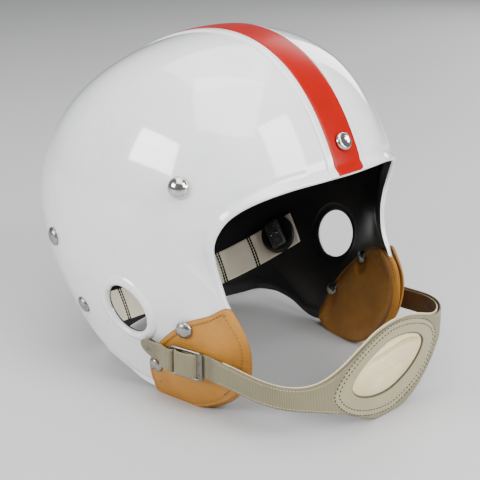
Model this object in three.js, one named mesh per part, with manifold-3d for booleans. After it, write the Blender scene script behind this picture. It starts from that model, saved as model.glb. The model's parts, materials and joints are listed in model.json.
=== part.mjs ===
// A vintage leather-trimmed football helmet with its chin strap fastened, standing on a flat surface.
// Millimetres. +Z is up, -Y is the wearer's front and +X is the wearer's left. The helmet is pitched
// back on its jaw pads and nape, as it stands by itself, and the floor is z = 0.
import * as THREE from 'three';
import Module from 'manifold-3d';

const wasm = await Module();
wasm.setup();

const { cos, sin, tanh, sqrt, abs, exp, atan2, floor, PI, min, max, sign, hypot } = Math;
const RAD = PI / 180;
const vec = (x, y, z) => new THREE.Vector3(x, y, z);

// Driving dimensions
const FRAME_Y = 15.65; // middle of the whole length, which the finished part has at y = 0
const GAP = 0.3; // clearance between pieces that touch
const SEAT = 1.1; // the same for flat heads beside the shell, whose facets stand off its round form
const HALF_WIDTH = 113;
const WALL = 3.6;
const CENTRE = vec(0, 37.7, 114); // middle of the head space
const PITCH = 29.8 * RAD; // how far the shell is tipped back
const REACH = { front: 139.3, back: 121.9, top: 114.7, bottom: 156.1 };
const SQUARENESS = 0.128;
const SIDE_FULLNESS = -0.054;
const LIP = { rise: 2, width: 7.5, groove: 0.5 };
const RIDGE = { half: 18, bevel: 1.8, rise: 1.2 };
const STRIPE = { half: 12.5, thick: 0.4 };
const EAR = { at: vec(107.45, 7.3, 65.9), axis: vec(0.969, -0.059, -0.241), hole: 18, mouth: 2.3 };
const COLLAR = { radius: 25.3, sides: 24 };
const LEATHER = 2.2;
const CUSHION = { edge: 6.2, swell: 9, seat: 7.4 }; // depths of its edge, its bulge and its rivets' heads
const GUSSET = { ahead: 5.8, out: 4, fromY: -50, toY: -72 }; // slants from the cushion's front outwards
const FLAP_FOOT = 0.4;

// Gentle swells on the shell's round form: place on the shell, share of the radius, spread in degrees
const SWELLS = [
  { at: vec(85, -56, 108), amount: -0.047, spread: 11 }, // cheeks drawn in beside the face
  { at: vec(84, -60, 80), amount: -0.063, spread: 11 },
  { at: vec(80, -75, 55), amount: 0.092, spread: 15 }, // jaw plates run straight forward
  { at: vec(84, -40, 10), amount: 0.102, spread: 15 },
  { at: vec(96, -30.6, 56.4), amount: -0.12, spread: 13.2 }, // flat in front of the ears
  { at: vec(96, -13.5, 10.3), amount: -0.064, spread: 19.9 },
  { at: vec(96, -16.3, 63.3), amount: 0.099, spread: 13.9 },
];

// The shell's edge from the brow to the nape, on the wearer's left: place, and share of the raised lip
const RIM = [
  { x: 0, y: -95, z: 160, lip: 1 },
  { x: 28, y: -92, z: 159.3, lip: 1 },
  { x: 42, y: -88.2, z: 158, lip: 1 },
  { x: 55, y: -83, z: 155.5, lip: 1 },
  { x: 67, y: -77.4, z: 152, lip: 1 },
  { x: 76.6, y: -69.7, z: 146, lip: 1 },
  { x: 82.7, y: -63.6, z: 139, lip: 1 },
  { x: 86.2, y: -58.2, z: 128.6, lip: 1 },
  { x: 86.5, y: -55.4, z: 118.6, lip: 1 },
  { x: 85.1, y: -55, z: 109, lip: 1 },
  { x: 83.4, y: -56.7, z: 99, lip: 0.9 },
  { x: 82.2, y: -60, z: 88.7, lip: 0.4 },
  { x: 81.6, y: -65, z: 79.3, lip: 0 },
  { x: 80.4, y: -71, z: 66, lip: 0 },
  { x: 79.8, y: -73, z: 53, lip: 0 },
  { x: 80.2, y: -70, z: 39, lip: 0 },
  { x: 81.5, y: -61, z: 27, lip: 0 },
  { x: 82.8, y: -46, z: 17.5, lip: 0 },
  { x: 83.4, y: -28, z: 10.5, lip: 0 },
  { x: 83.2, y: -12, z: 5, lip: 0.2 },
  { x: 84, y: 5, z: 2, lip: 1 },
  { x: 85.2, y: 16, z: 3.4, lip: 1 },
  { x: 86.2, y: 31, z: 8.3, lip: 1 },
  { x: 84.8, y: 49, z: 11, lip: 1 },
  { x: 79.6, y: 64, z: 10, lip: 1 },
  { x: 68.5, y: 75, z: 6, lip: 1 },
  { x: 52, y: 87.5, z: 2, lip: 1 },
  { x: 28, y: 98.5, z: 0.9, lip: 1 },
  { x: 0, y: 103, z: 0.5, lip: 1 },
];

// Outlines in side view of one jaw's outer leather and of its cushion
const FLAP_OUTLINE = [
  [-64.4, 81.2], [-70.3, 75.7], [-74.8, 69.8], [-78.9, 62.2], [-80.6, 53.5], [-79.6, 43], [-76.3, 32.7],
  [-69.5, 22.2], [-60.2, 13.4], [-49.2, 6.2], [-34.5, -0.5], [-17.2, -2.2], [-5.4, -0.7], [4, 2.4],
  [5.3, 13.1], [1.3, 26.8], [-7.6, 38.4], [-18.1, 50.1], [-27.3, 58.9], [-36.9, 66.9], [-50.5, 73.1],
];
const PAD_OUTLINE = [
  [-60, 77.2], [-65.2, 73.4], [-69, 67.1], [-71.8, 59.1], [-73.5, 51.5], [-73.6, 41.5], [-71, 31.4],
  [-66.3, 21.8], [-59.3, 12.5], [-49.5, 4.6], [-38.5, -0.5], [-27, -2.4], [-16.6, -2.2], [-9.3, -0.4],
  [-3.4, 2], [0.1, 5.6], [0.2, 10], [-1.7, 16.9], [-4, 25.1], [-7, 33.5], [-11, 40.9], [-16.3, 47.8],
  [-23.6, 55.6], [-32, 63.4], [-41.4, 71], [-51.5, 76],
];
const FLAP_MIDDLE = [-36, 36];
const PAD_MIDDLE = [-41, 36];

// Chin strap: height of its two edges along the band, by distance from the middle of the chin cup
const BAND = [
  { away: 0, low: 0.2, high: 65 },
  { away: 15, low: 1.2, high: 63.6 },
  { away: 25, low: 5, high: 60.6 },
  { away: 35, low: 10.8, high: 56.6 },
  { away: 45, low: 16.8, high: 52.3 },
  { away: 55, low: 22, high: 48.8 },
  { away: 65, low: 26, high: 46.6 },
  { away: 80, low: 29.4, high: 45.8 },
  { away: 105, low: 31, high: 47 },
  { away: 135, low: 32, high: 48.2 },
];
const STRAP = { half: 93.5, startY: -58, depth: 72.5, power: 3.2, canvas: 1.6, lining: 1.3, between: 0.5 };
const CUP = { shift: 5, tilt: 0.085, fade: 75, bulge: 3.2 };
const WINDOW = { long: 38.5, tall: 18.5, z: 33.5, tilt: 0.187, room: 0.6 };
const BUCKLE = { y: -40.6, long: 27, tall: 21, wire: 1, bar: -5.4, x: 97.9, lean: 0.2, z: 40.3 };
const TAB = { y: -8.6, z: 44.2, end: 6, reach: 6, width: 15.5, thick: 1.8, seat: 3.3 };

// Nape strap: a ribbon whose face leans back, in a squarish bow between the two lower back rivets
const NAPE = {
  y: 62, z: 50.5, lean: 39 * RAD, sag: 47, half: 97, power: 2.3, tall: 23.5, thick: 1.8, tail: 20, clear: 1.8,
};
const DISC = { radius: 13.8, thick: 2.6, sides: 16 };
const KEEPER = { wide: 11.5, tall: 19, thick: 4.5 };

// Rivets: place in side view, head radius and height, what the head sits on, and what the foot goes through
const ON_STRIPE = RIDGE.rise + STRIPE.thick + 3 * GAP;
const ON_LEATHER = LEATHER + 3 * GAP;
const RIVETS = [
  { name: 'front_rivet', y: -85, z: 179, head: 6.2, dome: 2.6, lift: ON_STRIPE, through: 'wall' },
  { name: 'temple_rivet', y: -33.7, z: 158, head: 7.3, dome: 5, lift: GAP, through: 'wall' },
  { name: 'back_rivet', y: 85, z: 98, head: 6.8, dome: 2.8, lift: GAP, through: 'wall' },
  { name: 'nape_rivet', y: 60, z: 52.7, head: 6.2, dome: 2.2, lift: GAP, through: 'disc' },
  { name: 'jaw_rivet_upper', y: -36.3, z: 62.2, head: 6, dome: 2.8, lift: ON_LEATHER, through: 'pad' },
  { name: 'jaw_rivet_lower', y: -7, z: 27.6, head: 5.6, dome: 2.6, lift: ON_LEATHER, through: 'pad' },
];
const SHANK = 2.4;

const COLOURS = {
  white: { color: 0xf2f2ef, roughness: 0.18, metalness: 0 },
  stripe: { color: 0xe03510, roughness: 0.3, metalness: 0 },
  leather: { color: 0xc0843c, roughness: 0.55, metalness: 0 },
  lining: { color: 0x5a3a18, roughness: 0.7, metalness: 0 },
  canvas: { color: 0xb1a88c, roughness: 0.85, metalness: 0 },
  cream: { color: 0xd9cfb2, roughness: 0.6, metalness: 0 },
  metal: { color: 0xb9bcbd, roughness: 0.25, metalness: 1 },
  black: { color: 0x1a1a1b, roughness: 0.45, metalness: 0 },
};

// A closed skin of triangles whose corners are shared
class Skin {
  constructor() {
    this.points = [];
    this.faces = [];
    this.seen = new Map();
  }

  corner(p) {
    const key = [p.x, p.y, p.z].map((n) => Math.round(n * 1e4)).join();
    if (!this.seen.has(key)) {
      this.seen.set(key, this.points.length);
      this.points.push(p.clone());
    }
    return this.seen.get(key);
  }

  triangle(a, b, c) {
    const face = [a, b, c].map((p) => this.corner(p));
    if (new Set(face).size === 3) this.faces.push(face);
  }

  quad(a, b, c, d) {
    this.triangle(a, b, c);
    this.triangle(a, c, d);
  }

  volume() {
    return this.faces.reduce((sum, [a, b, c]) => {
      const cross = this.points[b].clone().cross(this.points[c]);
      return sum + this.points[a].dot(cross) / 6;
    }, 0);
  }

  // The solid inside the skin, whichever way its faces were listed
  solid() {
    const faces = this.volume() < 0 ? this.faces.map(([a, b, c]) => [a, c, b]) : this.faces;
    const vertProperties = new Float32Array(this.points.flatMap((p) => [p.x, p.y, p.z]));
    const triVerts = new Uint32Array(faces.flat());
    return new wasm.Manifold(new wasm.Mesh({ numProp: 3, vertProperties, triVerts }));
  }
}

// Turns a closed geometry into a solid that can be cut and joined
function solidOf(geometry) {
  const skin = new Skin();
  const position = geometry.getAttribute('position');
  const index = geometry.index ? geometry.index.array : [...Array(position.count).keys()];
  const at = (i) => new THREE.Vector3().fromBufferAttribute(position, i);
  for (let i = 0; i < index.length; i += 3) skin.triangle(at(index[i]), at(index[i + 1]), at(index[i + 2]));
  return skin.solid();
}

function geometryOf(solid) {
  const { numProp, vertProperties, triVerts } = solid.getMesh();
  const geometry = new THREE.BufferGeometry();
  const xyz = [];
  for (let i = 0; i < vertProperties.length; i += numProp) xyz.push(...vertProperties.slice(i, i + 3));
  geometry.setAttribute('position', new THREE.Float32BufferAttribute(xyz, 3));
  geometry.setIndex([...triVerts]);
  return geometry;
}

const union = (solids) => solids.reduce((a, b) => a.add(b));
const cut = (solid, tools) => tools.reduce((a, b) => a.subtract(b), solid);

// A body between two grids of points with the same rows and columns
function between(top, bottom, { loop = false, capFirst = true, capLast = true } = {}) {
  const skin = new Skin();
  const rows = top.length;
  const columns = top[0].length;
  const wide = loop ? columns : columns - 1;
  for (let i = 0; i < rows - 1; i += 1) {
    for (let j = 0; j < wide; j += 1) {
      const k = (j + 1) % columns;
      skin.quad(top[i][j], top[i][k], top[i + 1][k], top[i + 1][j]);
      skin.quad(bottom[i][j], bottom[i + 1][j], bottom[i + 1][k], bottom[i][k]);
    }
  }
  for (let j = 0; j < wide; j += 1) {
    const k = (j + 1) % columns;
    if (capFirst) skin.quad(top[0][k], top[0][j], bottom[0][j], bottom[0][k]);
    if (capLast) skin.quad(top[rows - 1][j], top[rows - 1][k], bottom[rows - 1][k], bottom[rows - 1][j]);
  }
  if (!loop) {
    for (let i = 0; i < rows - 1; i += 1) {
      const last = columns - 1;
      skin.quad(top[i][0], top[i + 1][0], bottom[i + 1][0], bottom[i][0]);
      skin.quad(top[i + 1][last], top[i][last], bottom[i][last], bottom[i + 1][last]);
    }
  }
  return skin.solid();
}

const steps = (count, from = 0, to = 1) =>
  Array.from({ length: count + 1 }, (_, i) => from + ((to - from) * i) / count);
const mix = (a, b, share) => a + (b - a) * share;
const ease = (from, to, at) => {
  const t = min(1, max(0, (at - from) / (to - from)));
  return t * t * (3 - 2 * t);
};

// Reads a smooth value from a table whose rows are sorted by the key column
function reading(rows, key, column, at) {
  const place = min(rows[rows.length - 1][key], max(rows[0][key], at));
  let i = 0;
  while (i < rows.length - 2 && rows[i + 1][key] < place) i += 1;
  const slope = (n) => {
    const a = rows[max(0, n - 1)];
    const b = rows[min(rows.length - 1, n + 1)];
    return n === 0 ? 0 : (b[column] - a[column]) / (b[key] - a[key]);
  };
  const step = rows[i + 1][key] - rows[i][key];
  const t = (place - rows[i][key]) / step;
  const [a, b] = [rows[i][column], rows[i + 1][column]];
  const rise = (2 * t ** 3 - 3 * t ** 2 + 1) * a + (3 * t ** 2 - 2 * t ** 3) * b;
  return rise + (t ** 3 - 2 * t ** 2 + t) * step * slope(i) + (t ** 3 - t ** 2) * step * slope(i + 1);
}

// The shell's round form, as a distance from the middle of the head space in a given direction
const swellUnits = SWELLS.flatMap(({ at, amount, spread }) => [1, -1].map((side) => (
  { unit: vec(side * at.x, at.y, at.z).sub(CENTRE).normalize(), amount, spread: spread * RAD })));

function formRadius(d) {
  const forward = -d.y * cos(PITCH) + d.z * sin(PITCH);
  const up = d.y * sin(PITCH) + d.z * cos(PITCH);
  const front = 0.5 + 0.5 * tanh(1.8 * forward);
  const top = 0.5 + 0.5 * tanh(1.8 * up);
  const x2 = (d.x / HALF_WIDTH) ** 2;
  const f2 = (forward / mix(REACH.back, REACH.front, front)) ** 2;
  const u2 = (up / mix(REACH.bottom, REACH.top, top)) ** 2;
  const round = (1 - SQUARENESS) * (x2 + f2 + u2);
  const square = SQUARENESS * (x2 * x2 + f2 * f2 + u2 * u2) + SIDE_FULLNESS * x2 * (f2 + u2);
  const radius = sqrt((-round + sqrt(round * round + 4 * square)) / (2 * square));
  const swell = ({ unit, amount, spread }) => amount * exp(-((d.angleTo(unit) / spread) ** 2));
  return radius * (1 + swellUnits.reduce((sum, one) => sum + swell(one), 0));
}

// Spokes run over the shell from a pole on the crown's back to its edge
const POLE = vec(0, 0.8, 0.6);
const POLE_FRONT = vec(0, -0.6, 0.8);
const turnOf = (d) => atan2(d.x, d.dot(POLE_FRONT));
const spokeDirection = (turn, angle) => POLE.clone().multiplyScalar(cos(angle))
  .addScaledVector(POLE_FRONT, sin(angle) * cos(turn)).add(vec(sin(angle) * sin(turn), 0, 0));

const rimLoop = [...RIM, ...RIM.slice(1, -1).reverse().map((row) => ({ ...row, x: -row.x }))];
const rimCurve = new THREE.CatmullRomCurve3(rimLoop.map(({ x, y, z }) => vec(x, y, z)), true, 'centripetal');
const RIM_SAMPLES = 720;
const rimPoints = steps(RIM_SAMPLES / 2).map((share) => {
  const point = rimCurve.getPointAt(share / 2);
  const direction = point.clone().sub(CENTRE);
  const distance = direction.length();
  direction.normalize();
  const away = (row) => hypot(row.x - point.x, row.y - point.y, row.z - point.z);
  const { lip } = RIM.reduce((best, row) => (away(row) < away(best) ? row : best));
  return { turn: abs(turnOf(direction)), angle: direction.angleTo(POLE), distance, lip, direction };
});

// The form gives over the last part of each spoke to meet the edge
const giveShare = (ofEdge) => ease(0.72, 1, ofEdge);

// Smooths the lip's share along the edge and works out how far the form has to give there, its level
// without the lip, and the slope at which it arrives
const SMOOTHING = 12;
const LAST_STRETCH = 6; // length over which the slope is taken
rimPoints.forEach((point, i) => {
  const window = rimPoints.slice(max(0, i - SMOOTHING), i + SMOOTHING + 1);
  point.smoothLip = window.reduce((sum, other) => sum + other.lip, 0) / window.length;
  point.level = point.distance - point.smoothLip * LIP.rise;
  point.give = point.level / formRadius(point.direction) - 1;
  const step = LAST_STRETCH / point.distance;
  const inside = formRadius(spokeDirection(turnOf(point.direction), point.angle - step));
  const before = inside * (1 + point.give * giveShare(1 - step / point.angle));
  point.slope = atan2(point.level * step, point.level - before);
});

function rimAt(turn) {
  const goal = abs(turn);
  let low = 0;
  let high = rimPoints.length - 1;
  while (high - low > 1) {
    const middle = (low + high) >> 1;
    if (rimPoints[middle].turn <= goal) low = middle;
    else high = middle;
  }
  const [a, b] = [rimPoints[low], rimPoints[high]];
  const t = b.turn > a.turn ? min(1, max(0, (goal - a.turn) / (b.turn - a.turn))) : 0;
  return {
    angle: mix(a.angle, b.angle, t),
    distance: mix(a.distance, b.distance, t),
    lip: mix(a.smoothLip, b.smoothLip, t),
    give: mix(a.give, b.give, t),
    level: mix(a.level, b.level, t),
    slope: mix(a.slope, b.slope, t),
  };
}

// The lip: a shallow groove, then a rise to the very edge
function lipHeight(fromEdge) {
  const t = 1 - max(0, fromEdge) / LIP.width;
  if (t <= 0) return -LIP.groove * ease(-0.8, 0, t) * ease(0.8, 0, -t);
  return mix(-LIP.groove, LIP.rise, t * t * (3 - 2 * t));
}

const MOST_PAST = 0.3; // radians past the edge up to which the form is used

// Distance of the outer face in a direction. Past the edge it runs straight on
function shellRadius(d) {
  const rim = rimAt(turnOf(d));
  const angle = d.angleTo(POLE);
  if (angle > rim.angle) {
    const past = min(MOST_PAST, angle - rim.angle);
    return (rim.level * sin(rim.slope)) / sin(rim.slope - past) + rim.lip * LIP.rise;
  }
  const fromEdge = (rim.angle - angle) * rim.distance;
  const give = rim.give * giveShare(angle / rim.angle);
  const lip = fromEdge < LIP.width * 1.8 ? rim.lip * lipHeight(fromEdge) : 0;
  return formRadius(d) * (1 + give) + lip;
}

const shellPoint = (d) => CENTRE.clone().addScaledVector(d, shellRadius(d));

function shellNormal(d) {
  const side = (abs(d.x) > 0.9 ? vec(0, 1, 0) : vec(1, 0, 0)).cross(d).normalize();
  const other = d.clone().cross(side);
  const near = (axis, by) => shellPoint(d.clone().addScaledVector(axis, by).normalize());
  const along = near(side, 0.004).sub(near(side, -0.004));
  const across = near(other, 0.004).sub(near(other, -0.004));
  const normal = along.cross(across).normalize();
  return normal.dot(d) < 0 ? normal.negate() : normal;
}

const shellOffset = (d, out) => shellPoint(d).addScaledVector(shellNormal(d), out);

// The point of the left side wall at a place in side view, moved out by a distance along its normal
function sidePoint(y, z, out = 0, side = 1) {
  let [low, high] = [0, 135];
  for (let i = 0; i < 34; i += 1) {
    const middle = (low + high) / 2;
    const d = vec(middle, y, z).sub(CENTRE);
    const distance = d.length();
    if (distance < shellRadius(d.normalize())) low = middle;
    else high = middle;
  }
  const direction = vec(low, y, z).sub(CENTRE).normalize();
  const point = vec(low, y, z).addScaledVector(shellNormal(direction), out);
  point.x *= side;
  return point;
}

function sideNormal(y, z, side = 1) {
  const normal = shellNormal(sidePoint(y, z).sub(CENTRE).normalize());
  normal.x *= side;
  return normal;
}

// A turned body whose axis points out of the shell at a place
function turned(profile, origin, axis, sides) {
  const lathe = new THREE.LatheGeometry(profile.map(([r, h]) => new THREE.Vector2(r, h)), sides);
  const turn = new THREE.Quaternion().setFromUnitVectors(vec(0, 1, 0), axis);
  lathe.applyQuaternion(turn);
  lathe.translate(origin.x, origin.y, origin.z);
  return solidOf(lathe);
}

const SIDES = [['left', 1], ['right', -1]];

// Shell: a domed wall cut by the edge, with a raised crown ridge and a dished hole at each ear
const SPOKES = 44;
const spokeTurns = steps(SPOKES).slice(0, -1).map((share) => {
  const at = share <= 0.5 ? share * 2 : 2 - share * 2;
  const index = at * (rimPoints.length - 1);
  const [a, b] = [rimPoints[floor(index)], rimPoints[min(rimPoints.length - 1, floor(index) + 1)]];
  return mix(a.turn, b.turn, index - floor(index)) * (share <= 0.5 ? 1 : -1);
});
const RING_SHARES = [...steps(10, 0, 0.86), 0.91];
const LIP_RINGS = [1, 0.45, 0];

// Rings of the shell's grid from the pole to the edge, as the angle of each on a spoke with a given rim
const RINGS = [
  ...RING_SHARES.map((share) => (rim) => rim.angle * share),
  ...LIP_RINGS.map((away) => (rim) => rim.angle - (away * LIP.width) / rim.distance),
];
const EDGE_RINGS = RINGS.slice(6);
const ringsPast = (distances) => distances.map((past) => (rim) => rim.angle + past / rim.distance);

const ringPoints = (rings, out) => rings.map((angleOf) => spokeTurns.map((turn) => {
  const rim = rimAt(turn);
  return shellOffset(spokeDirection(turn, angleOf(rim)), out);
}));

// The filled form at a height over the shell's outer face, closed across the opening
function filledForm(rings, out) {
  const rows = ringPoints(rings, out);
  const edge = rows[rows.length - 1];
  const middle = edge.reduce((sum, p) => sum.add(p), vec(0, 0, 0)).divideScalar(edge.length);
  const skin = new Skin();
  rows.slice(1).forEach((row, i) => row.forEach((point, j) => {
    const k = (j + 1) % row.length;
    skin.quad(rows[i][j], rows[i][k], row[k], point);
  }));
  edge.forEach((point, j) => skin.triangle(point, edge[(j + 1) % edge.length], middle));
  return skin.solid();
}

const crownAngle = ({ y, z }) => atan2(z - CENTRE.z, CENTRE.y - y);
const browAngle = crownAngle(RIM[0]);
const napeAngle = crownAngle(RIM[RIM.length - 1]) + 2 * PI;

// A point near the middle line, by its angle over the crown, its place across and its height
function crownPoint(angle, x, out) {
  let lean = x / 120;
  for (let i = 0; i < 3; i += 1) {
    const d = vec(sin(lean), -cos(lean) * cos(angle), cos(lean) * sin(angle));
    lean *= x === 0 ? 1 : x / shellPoint(d).x;
  }
  return shellOffset(vec(sin(lean), -cos(lean) * cos(angle), cos(lean) * sin(angle)), out);
}

const RIDGE_ROWS = 24;
const ridgeAngles = steps(RIDGE_ROWS, browAngle + 0.004, napeAngle - 0.004);

function crownRidge() {
  const flat = RIDGE.half - RIDGE.bevel;
  const columns = [-RIDGE.half, -flat, 0, flat, RIDGE.half];
  const height = (x) => (abs(x) > flat ? -RIDGE.rise : RIDGE.rise);
  const top = ridgeAngles.map((a) => columns.map((x) => crownPoint(a, x, height(x))));
  const bottom = ridgeAngles.map((a) => columns.map((x) => crownPoint(a, x, -WALL * 0.7)));
  return between(top, bottom);
}

// A low collar round an ear hole, and the hole with its rounded mouth
function earTools(side) {
  const { hole, mouth } = EAR;
  const { radius, sides } = COLLAR;
  const [origin, axis] = [EAR.at, EAR.axis].map((v) => v.clone().setX(side * v.x));
  axis.normalize();
  const inner = hole - 1;
  const ring = [
    [inner, 0], [radius - 3.3, -0.4], [radius - 0.8, -1.2], [radius, -2.6], [radius - 0.3, -4],
    [inner, -2.8], [inner, 0],
  ];
  const tool = [
    [0, 5], [hole + mouth, 5], [hole + mouth, -0.2], [hole + 0.6, -1], [hole, -2.2], [hole, -9], [0, -9],
  ];
  return { ring: turned(ring, origin, axis, sides), hole: turned(tool, origin, axis, sides) };
}

// Where each rivet stands and which way it points
function rivetPlaces() {
  return RIVETS.flatMap((rivet) => {
    if (rivet.name === 'front_rivet') {
      const origin = crownPoint(crownAngle(rivet), 0, 0);
      const axis = shellNormal(origin.clone().sub(CENTRE).normalize());
      return [{ ...rivet, node: rivet.name, origin, axis }];
    }
    return SIDES.map(([label, side]) => ({
      ...rivet,
      node: `${rivet.name}_${label}`,
      side,
      origin: sidePoint(rivet.y, rivet.z, 0, side),
      axis: sideNormal(rivet.y, rivet.z, side),
    }));
  });
}

const PLACES = rivetPlaces();
const ROUND = 10; // sides of a small round piece
const BORE = { r: SHANK + GAP, from: -40, to: 9 };
const POCKET = { r: 5, floor: GAP - CUSHION.seat }; // for the inner head of a rivet in a cushion's edge
function bore({ origin, axis, through }) {
  const foot = through === 'pad'
    ? [[POCKET.r, BORE.from], [POCKET.r, POCKET.floor], [BORE.r, POCKET.floor]]
    : [[BORE.r, BORE.from]];
  return turned([[0, BORE.from], ...foot, [BORE.r, BORE.to], [0, BORE.to]], origin, axis, ROUND);
}
const BORES = Object.fromEntries(PLACES.map((place) => [place.node, bore(place)]));

// Snaps that hold the strap's tabs to the shell
const SNAP_PLACES = SIDES.map(([label, side]) => {
  const axis = sideNormal(TAB.y, TAB.z, side);
  return { label, side, origin: sidePoint(TAB.y, TAB.z, 0, side), axis };
});

function buildShell() {
  const wall = between(ringPoints(RINGS, 0), ringPoints(RINGS, -WALL), { loop: true, capFirst: false });
  const ears = SIDES.map(([, side]) => earTools(side));
  const raised = union([wall, crownRidge(), ...ears.map((ear) => ear.ring)]);
  const bores = [...Object.values(BORES), ...SNAP_PLACES.map(bore)];
  return cut(raised, [...ears.map((ear) => ear.hole), ...bores]);
}

function buildStripe() {
  const flat = RIDGE.half - RIDGE.bevel;
  const across = (angle, x, out) => {
    const middle = crownPoint(angle, 0, RIDGE.rise + out);
    const edge = crownPoint(angle, sign(x) * flat, RIDGE.rise + out);
    return x === 0 ? middle : middle.lerp(edge, abs(x) / flat);
  };
  const columns = [-STRIPE.half, 0, STRIPE.half];
  const rows = ridgeAngles.slice(1, -1);
  const grid = (out) => rows.map((angle) => columns.map((x) => across(angle, x, out)));
  return cut(between(grid(GAP + STRIPE.thick), grid(GAP)), [BORES.front_rivet]);
}

// Rings of points from the middle of a side-view outline to its edge
function outlineRings(outline, middle, shares, count) {
  const curve = new THREE.CatmullRomCurve3(outline.map(([y, z]) => vec(0, y, z)), true, 'centripetal');
  const edge = steps(count).slice(0, -1).map((share) => curve.getPointAt(share));
  return shares.map((share) => edge.map((point) => ({
    y: mix(middle[0], point.y, share),
    z: max(0, mix(middle[1], point.z, share)),
    share,
  })));
}

// How far the rings of the leather run on past the shell's edge
const PAST_EDGE = [5, 16];
const SIDE_REACH = [130, 55]; // past the jaw's leather, outside and inside
const jawBores = (side) =>
  PLACES.filter((place) => place.name.startsWith('jaw_rivet') && place.side === side).map(bore);

// Outer leather of a jaw pad: one sheet over the shell's jaw plate and past its edge
function buildFlap(side) {
  const rings = [...EDGE_RINGS, ...ringsPast(PAST_EDGE)];
  const sheet = between(ringPoints(rings, GAP + LEATHER), ringPoints(rings, GAP), { loop: true });
  const [edge] = outlineRings(FLAP_OUTLINE, FLAP_MIDDLE, [1], 28);
  const face = (x) => [
    edge.map(() => vec(side * x, ...FLAP_MIDDLE)),
    edge.map(({ y, z }) => vec(side * x, y, max(z, FLAP_FOOT))),
  ];
  const prism = between(...SIDE_REACH.map(face), { loop: true, capFirst: false });
  return cut(sheet.intersect(prism), jawBores(side));
}

// Space that the shell's edge takes between the leather and the cushion
function shellSlot() {
  const rings = [...EDGE_RINGS, ...ringsPast([2 * GAP])];
  return between(ringPoints(rings, 2 * GAP), ringPoints(rings, -WALL - GAP), { loop: true });
}

// Cushion of a jaw pad, with the gusset that closes it round the shell's edge
function buildPad(side) {
  const rings = outlineRings(PAD_OUTLINE, PAD_MIDDLE, [0, 0.5, 0.85, 1], 28);
  const inner = rings.map((ring) => ring.map(({ y, z, share }) => {
    const depth = CUSHION.edge + CUSHION.swell * (1 - share ** 3);
    return vec(side * (sidePoint(y, z).x - depth), y, z);
  }));
  const { ahead, out, fromY, toY } = GUSSET;
  const slanted = ({ x, y, z }) => vec(x + side * out, y - ahead * ease(fromY, toY, y), z);
  inner.push(inner[inner.length - 1].map(slanted));
  const outer = inner.map((ring) => ring.map(({ y, z }) => vec(side * SIDE_REACH[0], y, z)));
  const body = between(outer, inner, { loop: true, capFirst: false });
  const form = filledForm([...RINGS, ...ringsPast(PAST_EDGE)], 0);
  return cut(body.intersect(form), [shellSlot(), ...jawBores(side)]);
}

// A rivet: a domed head outside, a shank through the wall and a flat head inside
function buildRivet({ head, dome, lift, through, origin, axis }) {
  const foot = { wall: -WALL - SEAT, pad: -CUSHION.seat, disc: DISC_FOOT - GAP }[through];
  const arc = steps(2).map((t) => [head * cos((t * PI) / 2), lift + 0.6 + dome * sin((t * PI) / 2)]);
  const profile = [
    [0, foot - 1.8], [3.4, foot - 1.4], [4.6, foot], [SHANK, foot], [SHANK, lift], [head, lift], ...arc,
  ];
  profile[profile.length - 1][0] = 0;
  return turned(profile, origin, axis, ROUND);
}

// Plan of the chin strap's outer face: a squarish bow round the chin, from the right jaw to the left
const BOW_SAMPLES = 240;
const bow = steps(BOW_SAMPLES, 0, PI).map((t) => vec(
  -STRAP.half * sign(cos(t)) * abs(cos(t)) ** (2 / STRAP.power),
  STRAP.startY - STRAP.depth * abs(sin(t)) ** (2 / STRAP.power),
  0,
));
const bowCurve = new THREE.CatmullRomCurve3(bow, false, 'centripetal');
bowCurve.arcLengthDivisions = 2000;
const BOW_LENGTH = bowCurve.getLength();

// Edges of the band at a signed distance from the middle of the bow
function bandEdges(along) {
  const from = along - CUP.shift;
  const lean = CUP.tilt * from * ease(CUP.fade + 55, CUP.fade - 15, abs(from));
  return {
    low: max(0, reading(BAND, 'away', 'low', abs(from)) + lean),
    high: reading(BAND, 'away', 'high', abs(from)) + lean,
  };
}

const bowAt = (along) => bowCurve.getPointAt(min(1, max(0, along / BOW_LENGTH + 0.5)));
function bowNormal(along) {
  const a = bowAt(along - 0.5);
  const b = bowAt(along + 0.5);
  return vec(b.y - a.y, a.x - b.x, 0).normalize();
}

// The strap's loop round its buckle bar, in plan: distance forward of the bar and distance out
const PLY = STRAP.canvas;
const BAR_ROUND = BUCKLE.wire * 1.42 + GAP * 0.7;
const LOOP_RADIUS = BAR_ROUND + PLY / 2;
const UNDER = -(BUCKLE.wire + GAP + PLY / 2);

// Frame of a buckle: along the jaw towards the chin, and out from the jaw
function buckleFrame(side) {
  const origin = vec(side * BUCKLE.x, BUCKLE.y, BUCKLE.z);
  const ahead = vec(-side * sin(BUCKLE.lean), -cos(BUCKLE.lean), 0);
  const out = vec(side * cos(BUCKLE.lean), -sin(BUCKLE.lean), 0);
  const at = (forward, outward) =>
    origin.clone().addScaledVector(ahead, forward).addScaledVector(out, outward);
  return { origin, ahead, at };
}

const FRONT_BAR = BUCKLE.long / 2 - BUCKLE.wire;
const LOOP_HALF = 7.6; // half the band's width where it goes round the bar

function strapLoop(side) {
  const { at } = buckleFrame(side);
  const bend = (a) => at(BUCKLE.bar + LOOP_RADIUS * cos(a), LOOP_RADIUS * sin(a));
  const arc = steps(6, PI / 2, (3 * PI) / 2).map(bend);
  const tail = steps(2, 3, 8).map((f) => at(BUCKLE.bar + f, -LOOP_RADIUS));
  const over = [[0, LOOP_RADIUS], [4, LOOP_RADIUS + 0.5], [9, LOOP_RADIUS + 0.1], [12.6, 1.2], [15, -1.2]]
    .map(([f, o]) => at(BUCKLE.bar + f, o));
  const under = [-1.2, 2.5].map((past) => at(FRONT_BAR + past, UNDER - 0.1));
  return [...tail.reverse(), ...arc.reverse(), ...over.slice(1), ...under];
}

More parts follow.
